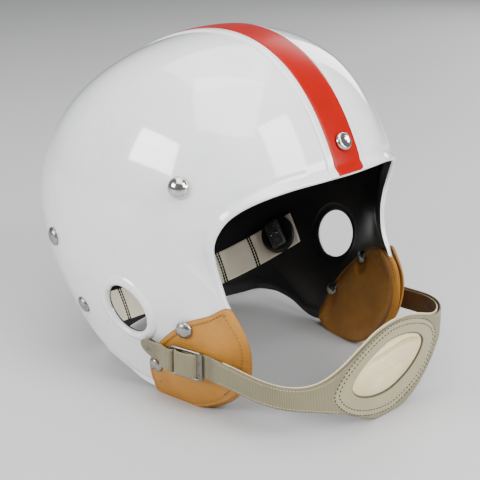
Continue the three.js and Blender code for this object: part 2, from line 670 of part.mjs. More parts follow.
// A band of cloth or leather that follows a plan path, between two edges, and leans over where they say so
function ribbon(path, edges, thick) {
  const normal = path.map((_, i) => {
    const a = path[max(0, i - 1)];
    const b = path[min(path.length - 1, i + 1)];
    return vec(b.y - a.y, a.x - b.x, 0).normalize();
  });
  const face = (out) => path.map((point, i) => {
    const { low, high, lean = 0 } = edges[i];
    return [low, high].map((z) => {
      const place = point.clone().addScaledVector(normal[i], out).setZ(z);
      return place.setX(place.x + lean * (z - (low + high) / 2));
    });
  });
  return between(face(thick / 2), face(-thick / 2));
}

const BAND_REACH = BOW_LENGTH / 2 - 6;

function buildChinStrap() {
  const loopEdges = (path) => path.map(() => ({ low: BUCKLE.z - LOOP_HALF, high: BUCKLE.z + LOOP_HALF }));
  const right = strapLoop(-1);
  const left = strapLoop(1).reverse();
  const distances = steps(36, -BAND_REACH, BAND_REACH);
  const middle = distances.map((s) => bowAt(s).addScaledVector(bowNormal(s), -PLY / 2));
  const path = [...right, ...middle, ...left];
  const edges = [...loopEdges(right), ...distances.map(bandEdges), ...loopEdges(left)];
  return ribbon(path, edges, PLY).subtract(cupHole());
}

// An oval round the cup's window, drawn in by some room, at a share of its size and a height on the band
function windowRing(share, room, out) {
  return steps(28).slice(0, -1).map((turn) => {
    const along = CUP.shift + (WINDOW.long - room) * share * cos(turn * 2 * PI);
    const up = (WINDOW.tall - room) * share * sin(turn * 2 * PI) + WINDOW.tilt * (along - CUP.shift);
    return bowAt(along).addScaledVector(bowNormal(along), out).setZ(WINDOW.z + up);
  });
}

// What is cut from the front of the band for the window
function cupHole() {
  const face = (out) => [0, 1].map((share) => windowRing(share, 0, out));
  return between(face(6), face(-6), { loop: true, capFirst: false });
}

function buildLining() {
  const distances = steps(36, -BAND_REACH + 4, BAND_REACH - 4);
  const depth = PLY + STRAP.between + STRAP.lining / 2;
  const path = distances.map((s) => bowAt(s).addScaledVector(bowNormal(s), -depth));
  const edges = distances.map((s) => {
    const { low, high } = bandEdges(s);
    const proud = 1.4 * ease(75, 30, abs(s - CUP.shift));
    return { low, high: high + proud };
  });
  return ribbon(path, edges, STRAP.lining);
}

// Padded insert that bulges through the cup's window
function buildCupPad() {
  const back = -PLY - STRAP.between + GAP;
  const shares = [0, 0.55, 0.88, 1];
  const height = (share) => CUP.bulge * (1 - share ** 3) - WINDOW.room;
  const face = (out) => shares.map((share) => windowRing(share, WINDOW.room, out(share)));
  return between(face(height), face(() => back), { loop: true, capFirst: false });
}

// A buckle: a bent wire frame with a cross bar
function buildBuckle(side) {
  const { origin, ahead } = buckleFrame(side);
  const { long, tall, wire, bar } = BUCKLE;
  const [reach, rise, corner] = [long / 2 - wire, tall / 2 - wire, 3.5];
  const up = vec(0, 0, 1);
  const place = new THREE.Matrix4().makeBasis(ahead, up, ahead.clone().cross(up)).setPosition(origin);
  const frame = rounded(-reach - wire, reach + wire, rise + wire, corner);
  frame.holes = [
    rounded(bar + wire, reach - wire, rise - wire, 1),
    rounded(wire - reach, bar - wire, rise - wire, 1),
  ];
  const plate = new THREE.ExtrudeGeometry(frame, { depth: 2 * wire, bevelEnabled: false, curveSegments: 2 });
  plate.translate(0, 0, -wire);
  return solidOf(plate.applyMatrix4(place));
}

// A rectangle with rounded corners, between two places along and as far up as down
function rounded(from, to, rise, corner) {
  const shape = new THREE.Shape();
  shape.moveTo(from + corner, -rise);
  shape.lineTo(to - corner, -rise);
  shape.absarc(to - corner, corner - rise, corner, -PI / 2, 0);
  shape.lineTo(to, rise - corner);
  shape.absarc(to - corner, rise - corner, corner, 0, PI / 2);
  shape.lineTo(from + corner, rise);
  shape.absarc(from + corner, rise - corner, corner, PI / 2, PI);
  shape.lineTo(from, corner - rise);
  shape.absarc(from + corner, corner - rise, corner, PI, 1.5 * PI);
  return shape;
}

// Tab that fastens the buckle to the shell: sewn round the buckle's rear bar
function buildTab({ side, axis, origin }) {
  const { at } = buckleFrame(side);
  const rear = -(BUCKLE.long / 2 - BUCKLE.wire);
  const radius = BAR_ROUND + TAB.thick / 2;
  const seat = origin.clone().addScaledVector(axis, TAB.seat + TAB.thick / 2);
  const ahead = vec(axis.y, -axis.x, 0).normalize().multiplyScalar(side);
  const straight = steps(3, -TAB.end, TAB.reach).map((along) => seat.clone().addScaledVector(ahead, along));
  const arc = steps(6, PI * 0.62, -PI * 0.72).map((a) => at(rear + radius * cos(a), radius * sin(a)));
  const path = [...straight, ...arc];
  if (side < 0) path.reverse();
  const half = TAB.width / 2;
  const last = path.length - 1;
  const edges = path.map((_, i) => {
    const fromEnd = side < 0 ? last - i : i;
    const grow = [0.45, 0.93][fromEnd] ?? 1;
    const share = ease(2, straight.length, fromEnd);
    const z = mix(seat.z, BUCKLE.z, min(1, fromEnd / 6));
    return { low: z - half * grow, high: z + half * grow, lean: (-axis.z / axis.x) * (1 - share) };
  });
  return ribbon(path, edges, TAB.thick).subtract(bore({ origin, axis }));
}

function buildSnap({ origin, axis }) {
  const under = -WALL - 1.5 * SEAT;
  const top = TAB.seat + TAB.thick + 3 * GAP;
  return turned([
    [0, under - 1.4], [4, under - 0.8], [4, under], [SHANK, under], [SHANK, top], [3.4, top],
    [2.4, top + 1.3], [0, top + 1.7],
  ], origin, axis, ROUND);
}

// Plane of the nape strap's face: across, and down its lean
const napeDown = vec(0, -sin(NAPE.lean), -cos(NAPE.lean));
const napeBack = vec(0, cos(NAPE.lean), -sin(NAPE.lean));

const napeAt = (across, back, down) => vec(across, NAPE.y, NAPE.z)
  .addScaledVector(napeBack, back).addScaledVector(napeDown, down);

// How far across an edge of the strap may reach inside the shell at a place on its way back
function napeRoom(back, down) {
  const place = napeAt(0, back, down);
  const point = sidePoint(place.y, place.z);
  return point.x - (WALL + NAPE.clear) / sideNormal(place.y, place.z).x - NAPE.thick / 2;
}

// The strap's middle line from the left tail to the right one, before the shell's room is taken off
const napePath = [
  { across: 2 * HALF_WIDTH, back: -NAPE.tail },
  { across: 2 * HALF_WIDTH, back: -NAPE.tail / 2 },
  ...steps(28, 0, PI).map((t) => ({
    across: NAPE.half * sign(cos(t)) * abs(cos(t)) ** (2 / NAPE.power),
    back: NAPE.sag * abs(sin(t)) ** (2 / NAPE.power),
  })),
  { across: -2 * HALF_WIDTH, back: -NAPE.tail / 2 },
  { across: -2 * HALF_WIDTH, back: -NAPE.tail },
];

function buildNapeStrap() {
  const edge = (down) => napePath.map(({ across, back }) => (
    { across: sign(across) * min(abs(across), napeRoom(back, down)), back }));
  const face = (out) => {
    const edges = [-0.5, 0.5].map((share) => {
      const down = share * NAPE.tall;
      const line = edge(down);
      return line.map(({ across, back }, i) => {
        const a = line[max(0, i - 1)];
        const b = line[min(line.length - 1, i + 1)];
        const step = out / hypot(b.across - a.across, b.back - a.back);
        return napeAt(across + step * (b.back - a.back), back + step * (a.across - b.across), down);
      });
    });
    return edges[0].map((point, i) => [point, edges[1][i]]);
  };
  const bores = PLACES.filter((p) => p.name === 'nape_rivet').map(bore);
  return cut(between(face(NAPE.thick / 2), face(-NAPE.thick / 2)), bores);
}

const napePlace = (side) => PLACES.find((place) => place.name === 'nape_rivet' && place.side === side);

// Heights on the inside at each nape rivet, from the shell's outer face inwards
const DISC_TOP = -WALL - NAPE.clear - NAPE.thick - 1.6;
const DISC_FOOT = DISC_TOP - DISC.thick;

function buildDisc(place) {
  const { radius, sides } = DISC;
  const ring = [
    [0, DISC_FOOT], [radius - 1, DISC_FOOT], [radius, DISC_FOOT + 1], [radius, DISC_TOP], [0, DISC_TOP],
  ];
  return turned(ring, place.origin, place.axis, sides).subtract(BORES[place.node]);
}

// Block that covers the rivet's inner head, standing across the strap
function buildKeeper(place) {
  const { wide, tall, thick } = KEEPER;
  const across = napeDown.clone().cross(place.axis).normalize();
  const up = place.axis.clone().cross(across).normalize();
  const outline = rounded(-wide / 2, wide / 2, tall / 2, 1.5);
  const block = new THREE.ExtrudeGeometry(outline, { depth: thick, bevelEnabled: false, curveSegments: 2 });
  const seat = place.origin.clone().addScaledVector(place.axis, DISC_FOOT - GAP - thick);
  block.applyMatrix4(new THREE.Matrix4().makeBasis(across, up, across.clone().cross(up)).setPosition(seat));
  const [low, high] = [DISC_FOOT - 2.8, DISC_FOOT + 1];
  const pocket = [[0, low], [4.9, low], [4.9, high], [0, high]];
  return solidOf(block).subtract(turned(pocket, place.origin, place.axis, 12));
}

function mesh(name, shape, look) {
  const part = new THREE.Mesh(geometryOf(shape), new THREE.MeshStandardMaterial(COLOURS[look]));
  part.name = name;
  return part;
}

const helmet = new THREE.Group();
helmet.name = 'football_helmet';
helmet.position.set(0, -FRAME_Y, 0);
helmet.add(mesh('shell', buildShell(), 'white'));
helmet.add(mesh('crown_stripe', buildStripe(), 'stripe'));
helmet.add(mesh('chin_strap', buildChinStrap(), 'canvas'));
helmet.add(mesh('chin_lining', buildLining(), 'lining'));
helmet.add(mesh('chin_cup_pad', buildCupPad(), 'cream'));
helmet.add(mesh('nape_strap', buildNapeStrap(), 'canvas'));
for (const [label, side] of SIDES) {
  helmet.add(mesh(`jaw_pad_${label}`, buildPad(side), 'leather'));
  helmet.add(mesh(`jaw_flap_${label}`, buildFlap(side), 'leather'));
  helmet.add(mesh(`nape_disc_${label}`, buildDisc(napePlace(side)), 'black'));
  helmet.add(mesh(`nape_keeper_${label}`, buildKeeper(napePlace(side)), 'black'));
  helmet.add(mesh(`chin_buckle_${label}`, buildBuckle(side), 'metal'));
}
for (const place of SNAP_PLACES) {
  helmet.add(mesh(`chin_tab_${place.label}`, buildTab(place), 'canvas'));
  helmet.add(mesh(`chin_snap_${place.label}`, buildSnap(place), 'metal'));
}
for (const place of PLACES) helmet.add(mesh(place.node, buildRivet(place), 'metal'));

export default helmet;
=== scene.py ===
"""Looks of a vintage football helmet that stands on a surface with its chin strap fastened.

Sizes are in millimetres in the maker's frame, in which the head space's middle is at y = 37.7. Meshes are
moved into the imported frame, in metres, when they are built.
"""

import json
import logging
import math
from collections.abc import Callable, Mapping, Sequence
from dataclasses import dataclass
from enum import Enum

import bmesh
import bpy
import numpy as np
from mathutils import Matrix, Vector
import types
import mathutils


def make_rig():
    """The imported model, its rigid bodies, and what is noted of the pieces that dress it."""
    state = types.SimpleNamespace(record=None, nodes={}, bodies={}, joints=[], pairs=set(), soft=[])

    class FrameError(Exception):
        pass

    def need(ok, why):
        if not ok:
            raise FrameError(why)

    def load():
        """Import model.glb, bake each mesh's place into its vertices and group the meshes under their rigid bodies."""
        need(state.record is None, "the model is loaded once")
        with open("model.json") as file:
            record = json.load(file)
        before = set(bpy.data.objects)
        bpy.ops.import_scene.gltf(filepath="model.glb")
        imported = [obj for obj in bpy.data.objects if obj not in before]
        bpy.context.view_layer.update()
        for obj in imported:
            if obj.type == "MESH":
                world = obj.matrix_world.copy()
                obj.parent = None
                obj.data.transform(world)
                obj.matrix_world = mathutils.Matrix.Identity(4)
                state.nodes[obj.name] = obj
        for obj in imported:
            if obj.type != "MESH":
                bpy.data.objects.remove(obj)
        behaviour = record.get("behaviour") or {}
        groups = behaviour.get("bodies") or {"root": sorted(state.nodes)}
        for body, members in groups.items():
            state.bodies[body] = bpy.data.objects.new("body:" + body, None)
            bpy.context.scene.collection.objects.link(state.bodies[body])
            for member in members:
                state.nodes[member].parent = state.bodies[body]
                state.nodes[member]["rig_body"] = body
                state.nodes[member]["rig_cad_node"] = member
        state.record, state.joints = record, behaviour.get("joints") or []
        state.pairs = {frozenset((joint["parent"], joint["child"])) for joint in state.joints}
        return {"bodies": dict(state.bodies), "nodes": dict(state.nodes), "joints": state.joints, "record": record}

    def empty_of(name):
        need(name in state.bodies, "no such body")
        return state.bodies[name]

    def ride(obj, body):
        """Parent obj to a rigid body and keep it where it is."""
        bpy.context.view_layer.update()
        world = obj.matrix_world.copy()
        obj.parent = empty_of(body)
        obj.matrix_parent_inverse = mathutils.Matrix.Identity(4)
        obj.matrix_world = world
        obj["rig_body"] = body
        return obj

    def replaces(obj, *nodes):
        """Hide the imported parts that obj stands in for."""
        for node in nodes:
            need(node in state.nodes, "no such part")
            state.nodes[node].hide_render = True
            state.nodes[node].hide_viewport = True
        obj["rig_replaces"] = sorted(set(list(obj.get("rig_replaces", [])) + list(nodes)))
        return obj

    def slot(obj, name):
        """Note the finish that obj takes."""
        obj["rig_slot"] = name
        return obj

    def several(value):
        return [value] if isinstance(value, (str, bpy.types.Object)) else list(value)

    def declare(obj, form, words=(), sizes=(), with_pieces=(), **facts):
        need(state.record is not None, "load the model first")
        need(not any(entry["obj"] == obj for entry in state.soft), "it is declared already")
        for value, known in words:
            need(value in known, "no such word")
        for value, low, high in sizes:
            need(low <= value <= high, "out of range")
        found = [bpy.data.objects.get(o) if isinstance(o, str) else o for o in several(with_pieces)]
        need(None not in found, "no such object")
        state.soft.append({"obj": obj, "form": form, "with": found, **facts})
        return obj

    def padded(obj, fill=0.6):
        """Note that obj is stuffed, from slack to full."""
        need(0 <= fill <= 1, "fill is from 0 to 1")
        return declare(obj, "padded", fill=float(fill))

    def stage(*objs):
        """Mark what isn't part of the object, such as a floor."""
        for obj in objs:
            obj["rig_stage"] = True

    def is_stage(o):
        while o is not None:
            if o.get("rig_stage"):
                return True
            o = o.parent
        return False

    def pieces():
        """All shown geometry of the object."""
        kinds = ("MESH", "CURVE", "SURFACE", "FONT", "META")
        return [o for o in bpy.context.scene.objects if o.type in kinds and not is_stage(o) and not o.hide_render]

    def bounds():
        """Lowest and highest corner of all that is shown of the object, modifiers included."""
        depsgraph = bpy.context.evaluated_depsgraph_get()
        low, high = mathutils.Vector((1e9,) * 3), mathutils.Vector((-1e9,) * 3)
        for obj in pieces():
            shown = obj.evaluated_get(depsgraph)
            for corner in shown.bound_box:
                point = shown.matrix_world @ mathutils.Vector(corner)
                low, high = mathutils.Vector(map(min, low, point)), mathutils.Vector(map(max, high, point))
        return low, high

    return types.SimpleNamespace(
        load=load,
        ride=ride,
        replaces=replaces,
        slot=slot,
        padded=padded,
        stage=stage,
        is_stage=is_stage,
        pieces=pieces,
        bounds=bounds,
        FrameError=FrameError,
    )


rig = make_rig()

LOG = logging.getLogger("helmet")
MM = 0.001
FRAME_Y = 15.65
SIZE_FILE = "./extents.json"
SIDES = {"left": 1, "right": -1}
UP = np.array((0.0, 0.0, 1.0))
WHOLE = 2 * math.pi

Array = np.ndarray
Object = bpy.types.Object
Material = bpy.types.Material
Node = bpy.types.Node
Socket = bpy.types.NodeSocket
Tree = bpy.types.NodeTree
Colour = tuple[float, float, float, float]
Path = tuple[Array, Array]


# Numbers and paths


def unit(vectors: Array) -> Array:
    """Vectors made one long, along their last axis."""
    return vectors / np.linalg.norm(vectors, axis=-1, keepdims=True)


def ease(start: float, end: float, at: Array) -> Array:
    """A smooth step from 0 at start to 1 at end."""
    t = np.clip((np.asarray(at, float) - start) / (end - start), 0, 1)
    return t * t * (3 - 2 * t)


def hump(at: Array, width: float) -> Array:
    """A bell that is 1 in its middle and fades over a width on each side."""
    return np.exp(-((at / width) ** 2))


def rounding(at: Array, radius: float) -> Array:
    """A quarter round: 0 at an edge and 1 from the radius inwards."""
    return np.sqrt(1 - (1 - np.clip(at / radius, 0, 1)) ** 2)


def spokes(count: int) -> Array:
    """Evenly spread turns of a whole circle."""
    return np.linspace(0, WHOLE, count, endpoint=False)


def lengths_of(points: Array) -> Array:
    """Distance of each point along a path from its first one."""
    return np.concatenate(([0], np.cumsum(np.linalg.norm(np.diff(points, axis=0), axis=1))))


def plan_normal(step: Array) -> Array:
    """The level normal on the right of a way seen from above."""
    return unit(np.stack((step[..., 1], -step[..., 0], 0 * step[..., 0]), -1))


def superellipse(turn: Array, power: float) -> Path:
    """Across and along shares of a squarish or lens-like oval at some turns."""
    across, along = np.cos(turn), np.sin(turn)
    return np.sign(across) * np.abs(across) ** (2 / power), np.sign(along) * np.abs(along) ** (2 / power)


def cubic(t: Array, start: Array, lead: Array, end: Array, tail: Array) -> Array:
    """A cubic from start to end that leaves with the slope lead and arrives with the slope tail."""
    straight = (2 * t**3 - 3 * t**2 + 1) * start + (3 * t**2 - 2 * t**3) * end
    return straight + (t**3 - 2 * t**2 + t) * lead + (t**3 - t**2) * tail


def hermite(keys: Sequence[float], values: Sequence[float], at: Array) -> Array:
    """A smooth reading of a table, level before its first row.

    Args:
        keys: the sorted key column.
        values: the column to read.
        at: places on the key column.

    Returns:
        The value at each place.
    """
    keys, values = np.asarray(keys, float), np.asarray(values, float)
    slopes = np.gradient(values, keys)
    slopes[1:-1] = (values[2:] - values[:-2]) / (keys[2:] - keys[:-2])
    slopes[0] = 0
    at = np.clip(at, keys[0], keys[-1])
    i = np.clip(np.searchsorted(keys, at, side="right") - 1, 0, len(keys) - 2)
    step = keys[i + 1] - keys[i]
    return cubic((at - keys[i]) / step, values[i], step * slopes[i], values[i + 1], step * slopes[i + 1])


def rows_between(low: Array, high: Array, rim: Sequence[float], count: int) -> Array:
    """Heights of the rows of a band from its low to its high edge.

    Args:
        low: the low edge along the band.
        high: the high edge.
        rim: distances from either edge of the close rows beside it.
        count: how many even rows lie between them.

    Returns:
        The heights, a row for each place along the band.
    """
    rim = np.array(rim)
    low, high = low[:, None], high[:, None]
    even = low + rim[-1] + (high - low - 2 * rim[-1]) * np.linspace(0, 1, count + 2)[1:-1]
    return np.hstack((low + rim, even, high - rim[::-1]))


class SmoothPath:
    """A centripetal Catmull-Rom curve through points, read by its length."""

    SAMPLES = 48

    def __init__(self, points: Array, closed: bool = False) -> None:
        """Samples the curve.

        Args:
            points: the points, one a row.
            closed: True where the curve comes back to its start.
        """
        p = np.asarray(points, float)
        if closed:
            before, start, after, then = (np.roll(p, shift, 0) for shift in (1, 0, -1, -2))
        else:
            ends = np.vstack((2 * p[0] - p[1], p, 2 * p[-1] - p[-2]))
            before, start, after, then = ends[:-3], ends[1:-2], ends[2:-1], ends[3:]
        gap = [np.linalg.norm(b - a, axis=1, keepdims=True) ** 0.5 + 1e-9
               for a, b in ((before, start), (start, after), (after, then))]
        ahead = (after - start) / gap[1]
        lead = gap[1] * ((start - before) / gap[0] - (after - before) / (gap[0] + gap[1]) + ahead)
        tail = gap[1] * (ahead - (then - start) / (gap[1] + gap[2]) + (then - after) / gap[2])
        t = np.linspace(0, 1, self.SAMPLES, endpoint=False)[None, :, None]
        curve = cubic(t, *(x[:, None] for x in (start, lead, after, tail)))
        last = p[:1] if closed else p[-1:]
        self.points = np.vstack((curve.reshape(-1, p.shape[1]), last))
        self.lengths = lengths_of(self.points)
        self.length = float(self.lengths[-1])

    def at(self, places: Array) -> Array:
        """Points at distances along the curve."""
        return np.stack([np.interp(places, self.lengths, column) for column in self.points.T], -1)


# The shell's round form


class HelmetForm:
    """The shell's outer face, as a distance from the middle of the head space in each direction."""

    CENTRE = np.array((0, 37.7, 114.0))
    HALF_WIDTH, WALL = 113.0, 3.6
    PITCH = math.radians(29.8)
    REACH = {"front": 139.3, "back": 121.9, "top": 114.7, "bottom": 156.1}
    BLEND, SQUARENESS, SIDE_FULLNESS = 1.8, 0.128, -0.054
    LIP_RISE, LIP_WIDTH, LIP_GROOVE = 2.0, 7.5, 0.5
    POLE, POLE_FRONT = np.array((0, 0.8, 0.6)), np.array((0, -0.6, 0.8))
    # Share of the way from the pole to the edge at which the form starts to give
    GIVE_FROM = 0.72
    # Gentle swells: place on the left side, share of the radius, spread in degrees
    SWELLS = (
        ((85, -56, 108), -0.047, 11), ((84, -60, 80), -0.063, 11), ((80, -75, 55), 0.092, 15),
        ((84, -40, 10), 0.102, 15), ((96, -30.6, 56.4), -0.12, 13.2), ((96, -13.5, 10.3), -0.064, 19.9),
        ((96, -16.3, 63.3), 0.099, 13.9),
    )
    # The edge from the brow to the nape on the left: place, and share of the raised lip
    RIM = (
        (0, -95, 160, 1), (28, -92, 159.3, 1), (42, -88.2, 158, 1), (55, -83, 155.5, 1), (67, -77.4, 152, 1),
        (76.6, -69.7, 146, 1), (82.7, -63.6, 139, 1), (86.2, -58.2, 128.6, 1), (86.5, -55.4, 118.6, 1),
        (85.1, -55, 109, 1), (83.4, -56.7, 99, 0.9), (82.2, -60, 88.7, 0.4), (81.6, -65, 79.3, 0),
        (80.4, -71, 66, 0), (79.8, -73, 53, 0), (80.2, -70, 39, 0), (81.5, -61, 27, 0), (82.8, -46, 17.5, 0),
        (83.4, -28, 10.5, 0), (83.2, -12, 5, 0.2), (84, 5, 2, 1), (85.2, 16, 3.4, 1), (86.2, 31, 8.3, 1),
        (84.8, 49, 11, 1), (79.6, 64, 10, 1), (68.5, 75, 6, 1), (52, 87.5, 2, 1), (28, 98.5, 0.9, 1),
        (0, 103, 0.5, 1),
    )
    SAMPLES, SMOOTHING, RUN_ON = 361, 12, 6.0

    def __init__(self) -> None:
        """Works out the edge and how far the form gives to meet it."""
        rows = np.array(self.RIM, float)
        edge = SmoothPath(np.vstack((rows, rows[-2:0:-1] * (-1, 1, 1, 1)))[:, :3], closed=True)
        points = edge.at(np.linspace(0, edge.length / 2, self.SAMPLES))
        away = points - self.CENTRE
        self.rim_distance = np.linalg.norm(away, axis=1)
        directions = away / self.rim_distance[:, None]
        nearest = np.linalg.norm(points[:, None] - rows[None, :, :3], axis=2).argmin(1)
        lips, near = rows[nearest, 3], self.SMOOTHING
        self.rim_lip = np.array([lips[max(0, i - near) : i + near + 1].mean() for i in range(self.SAMPLES)])
        self.rim_turn = np.maximum.accumulate(np.abs(self.turn_of(directions)))
        self.rim_angle = self.angle_of(directions)
        self.rim_level = self.rim_distance - self.rim_lip * self.LIP_RISE
        self.rim_give = self.rim_level / self.round_radius(directions) - 1
        step = self.RUN_ON / self.rim_distance
        inside = self.direction(self.turn_of(directions), self.rim_angle - step)
        share = ease(self.GIVE_FROM, 1, 1 - step / self.rim_angle)
        change = self.rim_level - self.round_radius(inside) * (1 + self.rim_give * share)
        self.rim_slope = np.arctan2(self.rim_level * step, change)

    def turn_of(self, d: Array) -> Array:
        """Turn about the pole of each direction, 0 at the brow."""
        return np.arctan2(d[..., 0], d @ self.POLE_FRONT)

    def angle_of(self, d: Array) -> Array:
        """Angle of each direction from the pole."""
        return np.arccos(np.clip(d @ self.POLE, -1, 1))

    def direction(self, turn: Array, angle: Array) -> Array:
        """The way to look in.

        Args:
            turn: turns about the pole.
            angle: angles from it.

        Returns:
            A direction for each pair.
        """
        turn, angle = np.broadcast_arrays(turn, angle)
        side = np.stack((np.sin(angle) * np.sin(turn), 0 * turn, 0 * turn), -1)
        ahead = (np.sin(angle) * np.cos(turn))[..., None] * self.POLE_FRONT
        return np.cos(angle)[..., None] * self.POLE + ahead + side

    def round_radius(self, d: Array) -> Array:
        """The form without its lip and its fit to the edge: a squarish ovoid with gentle swells.

        Args:
            d: directions.

        Returns:
            The distance in each direction.
        """
        forward = -d[..., 1] * math.cos(self.PITCH) + d[..., 2] * math.sin(self.PITCH)
        up = d[..., 1] * math.sin(self.PITCH) + d[..., 2] * math.cos(self.PITCH)
        front, top = 0.5 + 0.5 * np.tanh(self.BLEND * forward), 0.5 + 0.5 * np.tanh(self.BLEND * up)
        reach = self.REACH
        x2 = (d[..., 0] / self.HALF_WIDTH) ** 2
        f2 = (forward / (reach["back"] + (reach["front"] - reach["back"]) * front)) ** 2
        u2 = (up / (reach["bottom"] + (reach["top"] - reach["bottom"]) * top)) ** 2
        plain = (1 - self.SQUARENESS) * (x2 + f2 + u2)
        square = self.SQUARENESS * (x2 * x2 + f2 * f2 + u2 * u2) + self.SIDE_FULLNESS * x2 * (f2 + u2)
        radius = np.sqrt((-plain + np.sqrt(plain * plain + 4 * square)) / (2 * square))
        swell = np.zeros(d.shape[:-1])
        for place, amount, spread in self.SWELLS:
            for side in SIDES.values():
                axis = unit(np.array(place, float) * (side, 1, 1) - self.CENTRE)
                swell += amount * hump(np.arccos(np.clip(d @ axis, -1, 1)), math.radians(spread))
        return radius * (1 + swell)

    def rim_at(self, turn: Array) -> tuple[Array, ...]:
        """Angle, distance, lip, give, level and slope of the edge at each turn."""
        columns = (self.rim_angle, self.rim_distance, self.rim_lip, self.rim_give, self.rim_level,
                   self.rim_slope)
        return tuple(np.interp(np.abs(turn), self.rim_turn, column) for column in columns)

    def lip_height(self, from_edge: Array) -> Array:
        """The lip: a shallow groove, then a rise to the very edge.

        Args:
            from_edge: distances inside the edge.

        Returns:
            The lip's height at each.
        """
        t = 1 - np.maximum(0, from_edge) / self.LIP_WIDTH
        groove = -self.LIP_GROOVE * ease(-0.8, 0, t) * ease(0.8, 0, -t)
        rise = -self.LIP_GROOVE + (self.LIP_RISE + self.LIP_GROOVE) * ease(0, 1, t)
        return np.where(t <= 0, groove, rise)

    def from_edge(self, d: Array) -> Array:
        """How far inside the edge each direction meets the shell."""
        rim_angle, rim_distance = self.rim_at(self.turn_of(d))[:2]
        return (rim_angle - self.angle_of(d)) * rim_distance

    def radius(self, d: Array) -> Array:
        """Distance of the outer face, carried straight on past the edge.

        Args:
            d: directions.

        Returns:
            The distance in each direction.
        """
        rim_angle, rim_distance, rim_lip, rim_give, rim_level, rim_slope = self.rim_at(self.turn_of(d))
        angle = self.angle_of(d)
        inside = self.round_radius(d) * (1 + rim_give * ease(self.GIVE_FROM, 1, angle / rim_angle))
        past = np.clip(angle - rim_angle, 0, 0.3)
        level = np.where(angle > rim_angle, rim_level * np.sin(rim_slope) / np.sin(rim_slope - past), inside)
        return level + rim_lip * self.lip_height((rim_angle - angle) * rim_distance)

    def point(self, d: Array) -> Array:
        """The outer face's point in each direction."""
        return self.CENTRE + d * self.radius(d)[..., None]

    def normal(self, d: Array) -> Array:
        """The outer face's outward normal.

        Args:
            d: directions.

        Returns:
            The normal where each direction meets the face.
        """
        step = 0.004
        first = np.where(np.abs(d[..., :1]) > 0.9, np.array((0.0, 1, 0)), np.array((1.0, 0, 0)))
        side = unit(np.cross(first, d))
        other = np.cross(d, side)
        ahead, behind = (d + np.stack((side, other)) * sign for sign in (step, -step))
        normal = unit(np.cross(*(self.point(unit(ahead)) - self.point(unit(behind)))))
        return np.where((normal * d).sum(-1, keepdims=True) < 0, -normal, normal)

    def offset(self, d: Array, out: Array | float) -> Array:
        """Points at a height over the outer face."""
        return self.point(d) + self.normal(d) * np.asarray(out, float)[..., None]

    def meet(self, start: Array, way: Array, low: float, high: float) -> Array:
        """How far along a way the outer face is met.

        Args:
            start: the points to start from.
            way: the unit way to go.
            low: a distance before the face.
            high: a distance past it.

        Returns:
            The distance from each start.
        """
        low, high = np.full(start.shape[:-1], low), np.full(start.shape[:-1], high)
        for _ in range(30):
            middle = (low + high) / 2
            away = start + way * middle[..., None] - self.CENTRE
            distance = np.linalg.norm(away, axis=-1)
            inside = distance < self.radius(away / distance[..., None])
            low, high = np.where(inside, middle, low), np.where(inside, high, middle)
        return low

    def side_point(self, y: Array, z: Array, out: Array | float = 0, side: int = 1) -> Path:
        """A side wall's point and normal at places in side view.

        Args:
            y: places along the helmet.
            z: heights.
            out: height over the outer face.
            side: 1 for the left side and -1 for the right one.

        Returns:
            The points and the outward normals.
        """
        y, z = np.broadcast_arrays(np.asarray(y, float), np.asarray(z, float))
        x = self.meet(np.stack((0 * y, y, z), -1), np.array((1.0, 0, 0)), 0, 135)
        point = np.stack((x, y, z), -1)
        normal = self.normal(unit(point - self.CENTRE))
        point = point + normal * np.asarray(out, float)[..., None]
        return point * (side, 1, 1), normal * (side, 1, 1)

    @staticmethod
    def over_crown(angle: Array, lean: Array) -> Array:
        """Directions by angle over the crown and lean to the left."""
        return np.stack((np.sin(lean), -np.cos(lean) * np.cos(angle), np.cos(lean) * np.sin(angle)), -1)

    def crown_point(self, angle: Array, x: Array, out: Array | float) -> Array:
        """Points near the middle line.

        Args:
            angle: angles over the crown.
            x: places across.
            out: height over the outer face.

        Returns:
            A point for each.
        """
        angle, x = np.broadcast_arrays(np.asarray(angle, float), np.asarray(x, float))
        lean = x / 120
        for _ in range(4):
            reached = self.point(self.over_crown(angle, lean))[..., 0]
            lean = lean * np.where(np.abs(x) < 1e-9, 1, x / np.where(np.abs(reached) < 1e-9, 1, reached))
        return self.offset(self.over_crown(angle, lean), out)

    def crown_angle(self, y: float, z: float) -> float:
        """Angle over the crown of a place on the middle line."""
        return math.atan2(z - self.CENTRE[2], self.CENTRE[1] - y)


FORM = HelmetForm()


# Mesh building


